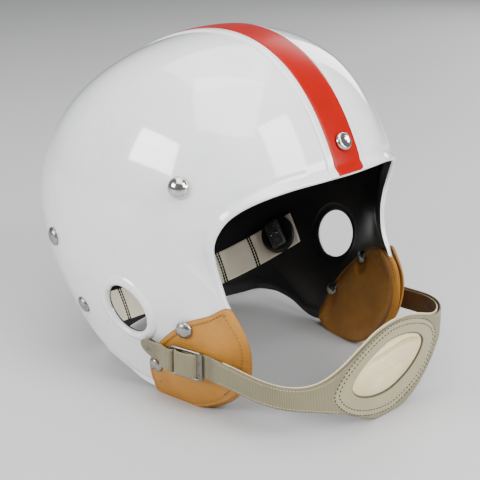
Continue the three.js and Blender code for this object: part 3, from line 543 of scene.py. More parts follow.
class Piece:
    """A mesh in the making: points in millimetres, faces, a finish number a face, and a pattern map."""

    def __init__(self, name: str) -> None:
        """Starts an empty piece."""
        self.name = name
        self.points: list[Array] = []
        self.maps: list[Array] = []
        self.worn: list[Array] = []
        self.count = 0
        self.faces: list[tuple[int, ...]] = []
        self.finish: list[int] = []

    def lay(self, points: Array, chart: Array | None = None, edge: Array | float = 0) -> Array:
        """Adds points.

        Args:
            points: points of any grid shape.
            chart: where each is on the pattern map, in millimetres.
            edge: how much each is darkened, from 0 to 1: wear at edges, and painted shade in creases, grooves and on
                shaded faces.

        Returns:
            Their numbers, in the same grid shape.
        """
        points = np.asarray(points, float)
        shape = points.shape[:-1]
        flat = points.reshape(-1, 3)
        self.points.append(flat)
        self.maps.append(np.zeros((len(flat), 2)) if chart is None else np.asarray(chart, float).reshape(-1, 2))
        self.worn.append(np.broadcast_to(np.asarray(edge, float), shape).reshape(-1))
        numbers = np.arange(self.count, self.count + len(flat)).reshape(shape)
        self.count += len(flat)
        return numbers

    def add_faces(self, faces: Array | Sequence, finish: int = 0) -> None:
        """Adds faces of the same number of corners.

        Args:
            faces: the point numbers of each.
            finish: their finish number.
        """
        kept = [tuple(dict.fromkeys(face)) for face in np.asarray(faces).tolist()]
        kept = [face for face in kept if len(face) > 2]
        self.faces.extend(kept)
        self.finish.extend([finish] * len(kept))

    def skin(self, grid: Array, wrap: bool = False, finish: int = 0, keep: Array | None = None) -> None:
        """Covers a grid of point numbers with quads.

        Args:
            grid: the point numbers, in rows.
            wrap: True where the last column meets the first.
            finish: the faces' finish number.
            keep: which of the quads to make.
        """
        following = np.roll(grid, -1, 1)
        quads = np.stack((grid[:-1], following[:-1], following[1:], grid[1:]), -1)
        if not wrap:
            quads = quads[:, :-1]
        self.add_faces(quads[keep] if keep is not None else quads.reshape(-1, 4), finish)

    def cap(self, ring: Array, middle: Array, finish: int = 0) -> None:
        """Closes a ring of points to a new one in its middle.

        Args:
            ring: the point numbers, in order.
            middle: the new point.
            finish: the faces' finish number.
        """
        centre = np.full(len(ring), self.lay(middle[None])[0])
        self.add_faces(np.stack((ring, np.roll(ring, -1), centre), -1), finish)

    def slab(self, top: Array, low: Array, chart: Array | None = None, finish: int = 0,
             low_finish: int | None = None) -> None:
        """Lays a closed slab between two grids.

        Args:
            top: the outer face's points.
            low: the inner face's points.
            chart: the pattern map of both.
            finish: finish of the outer face and the sides.
            low_finish: finish of the inner face where it is another one.
        """
        first, second = self.lay(top, chart), self.lay(low, chart)
        self.skin(first, finish=finish)
        self.skin(second, finish=finish if low_finish is None else low_finish)
        rims = [np.concatenate((g[0], g[1:, -1], g[-1, -2::-1], g[-2:0:-1, 0])) for g in (first, second)]
        self.skin(np.stack(rims), wrap=True, finish=finish)

    def zip_rings(self, first: Sequence[int], first_turns: Sequence[float], second: Sequence[int],
                  second_turns: Sequence[float], finish: int = 0) -> None:
        """Joins two rings that have different numbers of points.

        Args:
            first: point numbers of one ring, in order.
            first_turns: their turns, growing by one whole turn.
            second: point numbers of the ring outside or inside it.
            second_turns: their turns.
            finish: the faces' finish number.
        """
        a, b = [*first, first[0]], [*second, second[0]]
        ta, tb = [*first_turns, first_turns[0] + WHOLE], [*second_turns, second_turns[0] + WHOLE]
        i = j = 0
        triangles = []
        while i < len(a) - 1 or j < len(b) - 1:
            if j == len(b) - 1 or (i < len(a) - 1 and ta[i + 1] <= tb[j + 1]):
                triangles.append((a[i], a[i + 1], b[j]))
                i += 1
            else:
                triangles.append((a[i], b[j + 1], b[j]))
                j += 1
        self.add_faces(triangles, finish)

    @staticmethod
    def boundary(grid: Array, gone: Array, local: Array) -> tuple[list[int], list[float]]:
        """The ring of points round the quads that are left out, in order of turn.

        Args:
            grid: the point numbers.
            gone: which quads are left out.
            local: the points in the opening's own frame.

        Returns:
            Their numbers and their growing turns, from the smallest one.
        """
        columns = grid.shape[1]
        following: dict[tuple[int, int], tuple[int, int]] = {}
        for i, j in zip(*np.nonzero(gone)):
            k = (j + 1) % columns
            corners = [(i, j), (i, k), (i + 1, k), (i + 1, j)]
            beside = [(i - 1, j), (i, k), (i + 1, j), (i, (j - 1) % columns)]
            for n, (row, column) in enumerate(beside):
                if not (0 <= row < gone.shape[0] and gone[row, column]):
                    following[corners[n]] = corners[(n + 1) % 4]
        start = next(iter(following))
        walk, place = [start], following[start]
        while place != start:
            walk.append(place)
            place = following[place]
        numbers = [int(grid[p]) for p in walk]
        turns = np.unwrap([math.atan2(local[p][1], local[p][0]) for p in walk])
        if turns[-1] < turns[0]:
            numbers, turns = numbers[::-1], turns[::-1]
        turns = turns - WHOLE * math.floor(turns[0] / WHOLE)
        start = int(np.argmax(turns >= WHOLE)) if (turns >= WHOLE).any() else 0
        return numbers[start:] + numbers[:start], [*(turns[start:] - WHOLE * bool(start)), *turns[:start]]

    @staticmethod
    def face_out(mesh: bpy.types.Mesh) -> None:
        """Turns all faces of a mesh outwards.

        Args:
            mesh: the mesh.
        """
        faces = bmesh.new()
        faces.from_mesh(mesh)
        bmesh.ops.recalc_face_normals(faces, faces=faces.faces)
        faces.to_mesh(mesh)
        faces.free()

    def make(self, materials: Sequence[Material]) -> Object:
        """Builds the object, with its place in its mesh.

        Args:
            materials: the material of each finish number.

        Returns:
            The object.
        """
        mesh = bpy.data.meshes.new(self.name)
        placed = (np.concatenate(self.points) - (0, FRAME_Y, 0)) * MM
        mesh.from_pydata(placed.tolist(), [], self.faces)
        for material in materials:
            mesh.materials.append(material)
        mesh.polygons.foreach_set("material_index", self.finish)
        mesh.polygons.foreach_set("use_smooth", [True] * len(mesh.polygons))
        self.face_out(mesh)
        corners = np.zeros(len(mesh.loops), np.int32)
        mesh.loops.foreach_get("vertex_index", corners)
        chart = mesh.uv_layers.new(name="chart")
        chart.data.foreach_set("uv", (np.concatenate(self.maps)[corners] * MM).astype(np.float32).ravel())
        # Darkening by wear and by painted shade, which the leather and cloth finishes read
        worn = mesh.attributes.new("worn", "FLOAT", "POINT")
        worn.data.foreach_set("value", np.concatenate(self.worn).astype(np.float32))
        mesh.validate()
        made = bpy.data.objects.new(self.name, mesh)
        bpy.context.scene.collection.objects.link(made)
        return made


def lathe(profile: Sequence[tuple[float, float]], sides: int) -> Array:
    """A grid of points turned about the z axis.

    Args:
        profile: radius and height of each row.
        sides: how many points a row has.

    Returns:
        The points.
    """
    turn, rows = spokes(sides), np.array(profile, float)
    return np.stack((rows[:, :1] * np.cos(turn), rows[:, :1] * np.sin(turn), rows[:, 1:] + 0 * turn), -1)


def basis(axis: Array) -> Array:
    """Three unit rows: right and up across an axis, and the axis.

    Args:
        axis: the axis.

    Returns:
        The rows.
    """
    axis = unit(np.asarray(axis, float))
    right = unit(np.cross(UP, axis))
    return np.stack((right, np.cross(axis, right), axis))


def template(name: str, points: Array) -> Object:
    """A small closed piece to be copied.

    Args:
        name: its name.
        points: a grid in millimetres about its origin, whose first and last rows are its two poles.

    Returns:
        The object.
    """
    piece = Piece(name)
    points = points + (0, FRAME_Y, 0)
    grid = piece.lay(points[1:-1])
    piece.skin(grid, wrap=True)
    piece.cap(grid[0], points[0, 0])
    piece.cap(grid[-1], points[-1, 0])
    return piece.make([])


def settle(made: Object) -> Object:
    """Turns an object's modifiers into a plain mesh.

    Args:
        made: the object.

    Returns:
        The same object.
    """
    graph = bpy.context.evaluated_depsgraph_get()
    old = made.data
    mesh = bpy.data.meshes.new_from_object(made.evaluated_get(graph), preserve_all_data_layers=True,
                                           depsgraph=graph)
    made.modifiers.clear()
    made.data = mesh
    if old.users == 0:
        bpy.data.meshes.remove(old)
    return made


def finish_piece(made: Object, slot: str, nodes: Sequence[str] = ()) -> Object:
    """Rides a piece on the helmet, names what it stands for, and reports it.

    Args:
        made: the piece.
        slot: its material slot.
        nodes: the CAD nodes that it replaces.

    Returns:
        The piece.
    """
    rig.ride(made, "root")
    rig.slot(made, slot)
    if nodes:
        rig.replaces(made, *nodes)
    LOG.info("%s: %d faces", made.name, len(made.data.polygons))
    return made


# Node trees


class Wiring:
    """Adds nodes to a tree and joins them."""

    def __init__(self, tree: Tree) -> None:
        """Takes the tree."""
        self.tree = tree

    def plug(self, node: Node, name: str | int, value: object) -> None:
        """Sets one input of a node to a value or joins it to an output.

        Args:
            node: the node.
            name: the input's name or number.
            value: the value or the output.
        """
        socket = node.inputs[name]
        if isinstance(value, Socket):
            self.tree.links.new(value, socket)
        else:
            socket.default_value = value

    def node(self, kind: str, /, *values: object, **inputs: object) -> Node:
        """Adds a node.

        Args:
            kind: the node's type name.
            values: values or outputs for its first inputs, in order.
            inputs: the same by name, with _ for a space. Names that start with a small letter set the node's
                own options.

        Returns:
            The node.
        """
        made = self.tree.nodes.new(kind)
        plugs: list[tuple[str | int, object]] = list(enumerate(values))
        for name, value in inputs.items():
            if name[0].islower():
                setattr(made, name, value)
            else:
                plugs.append((name.replace("_", " "), value))
        for name, value in plugs:
            self.plug(made, name, value)
        return made

    def value(self, kind: str, /, *values: object, **inputs: object) -> Socket:
        """The first output of a new node."""
        return self.node(kind, *values, **inputs).outputs[0]

    def math(self, operation: str, *values: object) -> Socket:
        """The result of a sum."""
        return self.value("ShaderNodeMath", *values, operation=operation)

    def remap(self, value: Socket, low: float, high: float, first: object = 0.0, last: object = 1.0) -> Socket:
        """A value read from one range into another."""
        return self.value("ShaderNodeMapRange", value, low, high, first, last)

    def noise(self, place: Socket, scale: object, detail: float, **more: float) -> Socket:
        """Cloudy noise."""
        return self.value("ShaderNodeTexNoise", Vector=place, Scale=scale, Detail=detail, **more)

    def blend(self, share: Socket, first: object, second: object) -> Socket:
        """Mixes two colours by a share.

        Args:
            share: how much of the second.
            first: one colour.
            second: the other.

        Returns:
            The mixed colour.
        """
        made = self.node("ShaderNodeMix", share, data_type="RGBA")
        self.plug(made, 6, first)
        self.plug(made, 7, second)
        return made.outputs[2]

    def group(self, kind: "Group", **inputs: object) -> Mapping[str, Socket]:
        """The outputs of a shared group that is placed here."""
        return self.node("ShaderNodeGroup", node_tree=shader_group(kind), **inputs).outputs


class Placer:
    """Geometry nodes that set copies of one small piece at points that hold its turn and size."""

    def __init__(self) -> None:
        """Builds the tree once."""
        tree = bpy.data.node_groups.new("place copies", "GeometryNodeTree")
        face = tree.interface
        for name, kind in (("Geometry", "Geometry"), ("Copy", "Object"), ("Finish", "Material")):
            face.new_socket(name, in_out="INPUT", socket_type=f"NodeSocket{kind}")
        face.new_socket("Geometry", in_out="OUTPUT", socket_type="NodeSocketGeometry")
        self.sockets = {s.name: s.identifier for s in face.items_tree if s.in_out == "INPUT"}
        w = Wiring(tree)
        given = w.node("NodeGroupInput").outputs
        turn, size = (w.node("GeometryNodeInputNamedAttribute", data_type="FLOAT_VECTOR", Name=name)
                      for name in ("turn", "size"))
        rotation = w.value("FunctionNodeEulerToRotation", Euler=turn.outputs["Attribute"])
        copy = w.node("GeometryNodeObjectInfo", transform_space="ORIGINAL", Object=given["Copy"])
        placed = w.value("GeometryNodeInstanceOnPoints", Points=given["Geometry"],
                         Instance=copy.outputs["Geometry"], Rotation=rotation, Scale=size.outputs["Attribute"])
        real = w.value("GeometryNodeRealizeInstances", Geometry=placed)
        dressed = w.value("GeometryNodeSetMaterial", Geometry=real, Material=given["Finish"])
        w.node("NodeGroupOutput", Geometry=dressed)
        self.tree = tree

    def place(self, name: str, copy: Object, points: Sequence[Array], frames: Sequence[Array],
              sizes: Sequence[Sequence[float]], material: Material) -> Object:
        """Sets copies of a template.

        Args:
            name: the new piece's name.
            copy: the small piece, in metres about its own origin.
            points: places in millimetres.
            frames: for each, three unit rows that the template's x, y and z turn to.
            sizes: scale along those three.
            material: the finish of all of them.

        Returns:
            One plain mesh object.
        """
        mesh = bpy.data.meshes.new(name)
        mesh.from_pydata(((np.asarray(points) - (0, FRAME_Y, 0)) * MM).tolist(), [], [])
        turns = [Matrix(frame.T.tolist()).to_euler() for frame in np.asarray(frames)]
        for label, values in (("turn", turns), ("size", sizes)):
            attribute = mesh.attributes.new(label, "FLOAT_VECTOR", "POINT")
            flat = np.array([list(v) for v in values], np.float32).ravel()
            attribute.data.foreach_set("vector", flat)
        made = bpy.data.objects.new(name, mesh)
        bpy.context.scene.collection.objects.link(made)
        modifier = made.modifiers.new("copies", "NODES")
        modifier.node_group = self.tree
        modifier[self.sockets["Copy"]] = copy
        modifier[self.sockets["Finish"]] = material
        return settle(made)


class StitchSet:
    """Rows of thread stitches that lie on a surface."""

    def __init__(self, placer: Placer) -> None:
        """Makes the one small stitch that all rows copy.

        Args:
            placer: what sets its copies.
        """
        turn, rows = spokes(6), []
        for share in np.linspace(0, 1, 6):
            thick = 0.5 * math.sin(math.pi * share) ** 0.6
            along = np.full(6, -math.cos(math.pi * share) / 2)
            rows.append(np.stack((along, thick * np.cos(turn), thick * np.sin(turn)), -1))
        self.copy = template("stitch copy", np.array(rows))
        self.placer = placer

    @staticmethod
    def spread(path: Array, normals: Array, pitch: float) -> Path:
        """Spreads stitches along one row.

        Args:
            path: the row's points.
            normals: the surface's normals there.
            pitch: distance from stitch to stitch.

        Returns:
            The stitches' places, and for each its three unit rows: ahead, across and out.
        """
        along = lengths_of(path)
        count = max(2, int(along[-1] / pitch))
        at = (np.arange(count) + 0.5) * along[-1] / count

        def read(values: Array, where: Array) -> Array:
            """Reads the columns of a table along the row."""
            return np.stack([np.interp(where, along, column) for column in values.T], -1)

        normal = unit(read(normals, at))
        ahead = unit(read(path, at + 0.2) - read(path, at - 0.2))
        ahead = unit(ahead - normal * (ahead * normal).sum(1, keepdims=True))
        return read(path, at), np.stack((ahead, np.cross(normal, ahead), normal), 1)

    def sew(self, name: str, rows: Sequence[Path], pitch: float, size: tuple[float, float, float],
            material: Material, slot: str) -> None:
        """Sews rows of stitches as one piece.

        Args:
            name: the new piece's name.
            rows: for each row, its path and the surface's normals along it.
            pitch: distance from stitch to stitch.
            size: each stitch's length, width and height.
            material: the thread.
            slot: the piece's material slot.
        """
        places, frames = (np.concatenate(part) for part in zip(*(self.spread(*row, pitch) for row in rows)))
        finish_piece(self.placer.place(name, self.copy, places, frames, [size] * len(places), material), slot)


# Finishes


class Group(Enum):
    """The shader groups that several finishes share: name, inputs with their first values, outputs."""

    GRAIN = ("leather grain", {"Pore Size": 700.0, "Crease Size": 160.0}, ("Height", "Patches"))
    WEAVE = ("cloth weave", {"Rib Pitch": 0.001, "Thread Pitch": 0.0007, "Speckle Size": 1500.0},
             ("Height", "Shade", "Speckle"))
    SMUDGE = ("handling smudges", {"Clean": 0.2, "Smudged": 0.35, "Size": 30.0}, ("Roughness", "Mask"))


def grain(w: Wiring, given: Mapping[str, Socket]) -> tuple[Socket, ...]:
    """Pores and creases of leather, and its large patches.

    Args:
        w: the group's wiring.
        given: the group's inputs.

    Returns:
        Height and patches.
    """
    place = given["Place"]
    warp = w.node("ShaderNodeTexNoise", Vector=place, Scale=90.0, Detail=2.0).outputs["Color"]
    shifted = w.value("ShaderNodeVectorMath", warp, (0.004, 0.004, 0.004), place, operation="MULTIPLY_ADD")
    pores, creases = (w.value("ShaderNodeTexVoronoi", feature=feature, Vector=shifted, Scale=given[size])
                      for feature, size in (("DISTANCE_TO_EDGE", "Pore Size"), ("F1", "Crease Size")))
    coarse = w.math("MULTIPLY_ADD", creases, 0.35, w.remap(pores, 0.0, 0.18))
    height = w.math("MULTIPLY_ADD", w.noise(place, 2600.0, 3.0), 0.3, coarse)
    return height, w.noise(place, 38.0, 5.0, Roughness=0.6)


def weave(w: Wiring, given: Mapping[str, Socket]) -> tuple[Socket, ...]:
    """Ribs and threads of cloth, with a fine speckle.

    Args:
        w: the group's wiring.
        given: the group's inputs.

    Returns:
        Height, shade and speckle.
    """
    parts = w.node("ShaderNodeSeparateXYZ", Vector=given["Place"]).outputs

    def wave(place: Socket, pitch: Socket, shift: object) -> Socket:
        """A sine along a place, by its pitch and its shift in turns."""
        turns = w.math("ADD", w.math("DIVIDE", place, pitch), shift)
        return w.math("SINE", w.math("MULTIPLY", turns, WHOLE))

    rib = wave(parts["X"], given["Rib Pitch"], 0.0)
    thread = wave(parts["Y"], given["Thread Pitch"], w.math("MULTIPLY", rib, 0.25))
    both = w.math("MULTIPLY_ADD", thread, 0.45, rib)
    speckle = w.noise(given["Place"], given["Speckle Size"], 3.0)
    return w.math("ADD", both, speckle), w.remap(both, -1.45, 1.45), speckle


def smudge(w: Wiring, given: Mapping[str, Socket]) -> tuple[Socket, ...]:
    """Patches that were handled, which are duller.

    Args:
        w: the group's wiring.
        given: the group's inputs.

    Returns:
        Roughness and mask.
    """
    clouds = w.noise(given["Place"], given["Size"], 7.0, Roughness=0.65, Distortion=0.4)
    mask = w.remap(clouds, 0.42, 0.72)
    return w.remap(mask, 0.0, 1.0, given["Clean"], given["Smudged"]), mask


GROUP_MAKERS: dict[Group, Callable] = {Group.GRAIN: grain, Group.WEAVE: weave, Group.SMUDGE: smudge}


def shader_group(kind: Group) -> Tree:
    """Builds a shared shader group once.

    Args:
        kind: which one.

    Returns:
        Its tree.
    """
    name, inputs, outputs = kind.value
    found = bpy.data.node_groups.get(name)
    if found:
        return found
    tree = bpy.data.node_groups.new(name, "ShaderNodeTree")
    face = tree.interface
    face.new_socket("Place", in_out="INPUT", socket_type="NodeSocketVector")
    for label, value in inputs.items():
        face.new_socket(label, in_out="INPUT", socket_type="NodeSocketFloat").default_value = value
    for label in outputs:
        face.new_socket(label, in_out="OUTPUT", socket_type="NodeSocketFloat")
    w = Wiring(tree)
    w.node("NodeGroupOutput", *GROUP_MAKERS[kind](w, w.node("NodeGroupInput").outputs))
    return tree


def colour(red: float, green: float, blue: float) -> Colour:
    """A linear colour from values as a screen shows them, from 0 to 255."""
    seen = (red / 255, green / 255, blue / 255)
    return (*(((c + 0.055) / 1.055) ** 2.4 if c > 10 / 255 else c / 12.92 for c in seen), 1.0)


Relief = tuple[Socket, float, float]


@dataclass(frozen=True)
class Finish:
    """What all finishes have: a name, and the way to build their material from their surface."""

    name: str

    def surface(self, w: Wiring, place: Mapping[str, Socket]) -> tuple[dict[str, object], Relief]:
        """Wires what the shader reads.

        Args:
            w: the material's wiring.
            place: the kinds of place to read textures at.

        Returns:
            The shader's inputs by name, and the relief's height, depth and strength.
        """
        raise NotImplementedError

    def make(self) -> Material:
        """Makes the material.

        Returns:
            The material.
        """
        material = bpy.data.materials.new(self.name)
        material.use_nodes = True
        w = Wiring(material.node_tree)
        inputs, (height, depth, strength) = self.surface(w, w.node("ShaderNodeTexCoord").outputs)
        inputs["Normal"] = w.value("ShaderNodeBump", Height=height, Distance=depth, Strength=strength)
        for name, value in inputs.items():
            w.plug(material.node_tree.nodes["Principled BSDF"], name, value)
        return material


@dataclass(frozen=True)
class GlossPlastic(Finish):
    """Moulded plastic with a clear, slightly wavy gloss."""

    base: Colour
    shade: Colour
    clean: float = 0.1
    smudged: float = 0.2
    coat: float = 0.4
    peel: float = 0.00002
    bend: float = 1.5

    def surface(self, w: Wiring, place: Mapping[str, Socket]) -> tuple[dict[str, object], Relief]:
        """Smudged gloss under a clear coat, with a fine peel.

        Args:
            w: the material's wiring.
            place: the kinds of place to read textures at.

        Returns:
            The inputs and the relief.
        """
        hands = w.group(Group.SMUDGE, Place=place["Object"], Clean=self.clean, Smudged=self.smudged, Size=22.0)
        inputs = {"Coat Weight": self.coat, "Coat Roughness": 0.04, "IOR": self.bend,
                  "Base Color": w.blend(hands["Mask"], self.base, self.shade), "Roughness": hands["Roughness"]}
        return inputs, (w.noise(place["Object"], 230.0, 1.0), self.peel, 0.5)


@dataclass(frozen=True)
class Leather(Finish):
    """Grained leather that is darker and shinier where it is handled."""

    base: Colour
    dark: Colour
    # edge colour: pores, worn edges and painted shade
    edge: Colour
    rough: tuple[float, float] = (0.42, 0.6)
    depth: float = 0.00016
    pores: float = 900.0

    def surface(self, w: Wiring, place: Mapping[str, Socket]) -> tuple[dict[str, object], Relief]:
        """Patchy leather, darker in its pores, at worn edges and where painted shade is laid on.

        Args:
            w: the material's wiring.
            place: the kinds of place to read textures at.

        Returns:
            The inputs and the relief.
        """
        skin = w.group(Group.GRAIN, Place=place["Object"], Pore_Size=self.pores, Crease_Size=self.pores / 5)
        tone = w.blend(w.remap(skin["Patches"], 0.35, 0.7), self.base, self.dark)
        tone = w.blend(w.remap(skin["Height"], 0.1, 0.8, 0.3, 0.0), tone, self.edge)
        # Darker at worn edges, and where painted shade is laid in creases, grooves and on shaded faces
        worn = w.node("ShaderNodeAttribute", attribute_name="worn").outputs["Fac"]
        inputs = {"IOR": 1.45, "Base Color": w.blend(worn, tone, self.edge),
                  "Roughness": w.remap(skin["Patches"], 0.3, 0.7, *self.rough)}
        return inputs, (skin["Height"], self.depth, 0.6)


@dataclass(frozen=True)
class Cloth(Finish):
    """Woven canvas or webbing whose ribs follow the piece's own map."""

    base: Colour
    shadow: Colour
    soil: Colour
    rib: float = 0.0011
    thread: float = 0.0006
    depth: float = 0.0001
    contrast: float = 0.5

    def surface(self, w: Wiring, place: Mapping[str, Socket]) -> tuple[dict[str, object], Relief]:
        """Soiled cloth, darker between its ribs, at worn edges and where painted shade is laid on.

        Args:
            w: the material's wiring.
            place: the kinds of place to read textures at.

        Returns:
            The inputs and the relief.
        """
        threads = w.group(Group.WEAVE, Place=place["UV"], Rib_Pitch=self.rib, Thread_Pitch=self.thread)
        dirt = w.remap(w.noise(place["Object"], 60.0, 5.0), 0.4, 0.75, 0.0, 0.5)
        tone = w.blend(dirt, self.base, self.soil)
        tone = w.blend(w.remap(threads["Shade"], 0.0, 1.0, self.contrast, 0.0), tone, self.shadow)
        tone = w.blend(w.remap(threads["Speckle"], 0.52, 0.7, 0.0, 0.45), tone, self.base)
        # Darker at worn edges, and painted shade at the window's turned-down edge
        worn = w.node("ShaderNodeAttribute", attribute_name="worn").outputs["Fac"]
        inputs = {"Sheen Weight": 0.15, "Sheen Roughness": 0.5, "Specular IOR Level": 0.3,
                  "Base Color": w.blend(worn, tone, self.shadow),
                  "Roughness": w.remap(threads["Speckle"], 0.0, 1.0, 0.7, 0.95)}
        return inputs, (threads["Height"], self.depth, 0.7)


@dataclass(frozen=True)
class Metal(Finish):
    """Plated metal, from mirror bright to dull and dented."""

    base: Colour
    clean: float = 0.14
    smudged: float = 0.32
    dents: float = 0.00002

    def surface(self, w: Wiring, place: Mapping[str, Socket]) -> tuple[dict[str, object], Relief]:
        """Plate that is darker where it is smudged, with small dents.

        Args:
            w: the material's wiring.
            place: the kinds of place to read textures at.

        Returns:
            The inputs and the relief.
        """
        hands = w.group(Group.SMUDGE, Place=place["Object"], Clean=self.clean, Smudged=self.smudged, Size=260.0)
        dull = (*(0.6 * c for c in self.base[:3]), 1.0)
        inputs = {"Metallic": 1.0, "Base Color": w.blend(hands["Mask"], self.base, dull),
                  "Roughness": hands["Roughness"]}
        return inputs, (w.noise(place["Object"], 500.0, 2.0), self.dents, 0.6)


@dataclass(frozen=True)
class DullPlastic(Finish):
    """Satin black plastic with a fine speckle."""

    base: Colour
    fleck: Colour
    flecks: float = 0.0

    def surface(self, w: Wiring, place: Mapping[str, Socket]) -> tuple[dict[str, object], Relief]:
        """Satin plastic with pale flecks.

        Args:
            w: the material's wiring.
            place: the kinds of place to read textures at.

        Returns:
            The inputs and the relief.
        """
        hands = w.group(Group.SMUDGE, Place=place["Object"], Clean=0.3, Smudged=0.45, Size=45.0)
        dots = w.noise(place["Object"], 1900.0, 2.0)
        inputs = {"IOR": 1.48, "Roughness": hands["Roughness"],
                  "Base Color": w.blend(w.remap(dots, 0.6, 0.68, 0.0, self.flecks), self.base, self.fleck)}
        return inputs, (dots, 0.00003, 0.5)


def make_finishes() -> dict[str, Material]:
    """Makes every material of the helmet.

    Returns:
        The materials by name.
    """
    canvas_dark = colour(62, 56, 40)
    rows = (
        GlossPlastic("shell white", (0.86, 0.865, 0.87, 1), (0.78, 0.79, 0.8, 1), coat=1.0),
        GlossPlastic("shell black", (0.018, 0.018, 0.019, 1), (0.021, 0.021, 0.022, 1), clean=0.34,
                     smudged=0.42, coat=0.0, peel=0.00004),
        GlossPlastic("stripe red", colour(158, 9, 0), colour(146, 7, 0), clean=0.3, smudged=0.4, coat=0.0,
                     bend=1.27),
        Leather("tan leather", colour(184, 126, 42), colour(166, 109, 32), colour(92, 55, 16)),
        # The inside leather's edge colour also gives the cushion's painted shade
        Leather("tan leather inside", colour(186, 130, 56), colour(164, 108, 42), colour(74, 44, 14)),
        Leather("brown lining", colour(80, 52, 20), colour(58, 36, 12), colour(32, 20, 8), pores=1300.0),
        Leather("cream leather", colour(222, 207, 166), colour(206, 190, 146), colour(150, 132, 92),
                depth=0.00005, pores=1500.0),
        Cloth("strap canvas", colour(140, 133, 105), canvas_dark, colour(118, 110, 84)),
        Cloth("cup canvas", colour(160, 151, 123), canvas_dark, colour(146, 136, 106), rib=0.0008,
              contrast=0.2, depth=0.00005),
        Cloth("nape webbing", colour(246, 238, 216), colour(206, 192, 160), colour(226, 214, 186), rib=0.0026,
              contrast=0.15, depth=0.00004),
        Cloth("dark thread", colour(38, 29, 17), colour(20, 14, 8), colour(30, 22, 12)),
        Cloth("pale thread", colour(214, 202, 168), colour(150, 134, 96), colour(190, 176, 140)),
        Cloth("tan thread", colour(84, 48, 15), colour(50, 28, 9), colour(66, 38, 12)),
        Metal("bright nickel", (0.64, 0.63, 0.61, 1), clean=0.1, smudged=0.26),
        Metal("dull nickel", (0.38, 0.375, 0.36, 1), clean=0.24, smudged=0.42, dents=0.00025),
        Metal("worn nickel", (0.24, 0.22, 0.19, 1), clean=0.28, smudged=0.48, dents=0.0002),
        DullPlastic("black plastic", (0.014, 0.014, 0.015, 1), (0.09, 0.09, 0.09, 1)),
        DullPlastic("speckled plastic", (0.03, 0.03, 0.03, 1), (0.55, 0.55, 0.53, 1), flecks=0.8),
    )
    return {finish.name: finish.make() for finish in rows}


Finishes = Mapping[str, Material]


# Shell


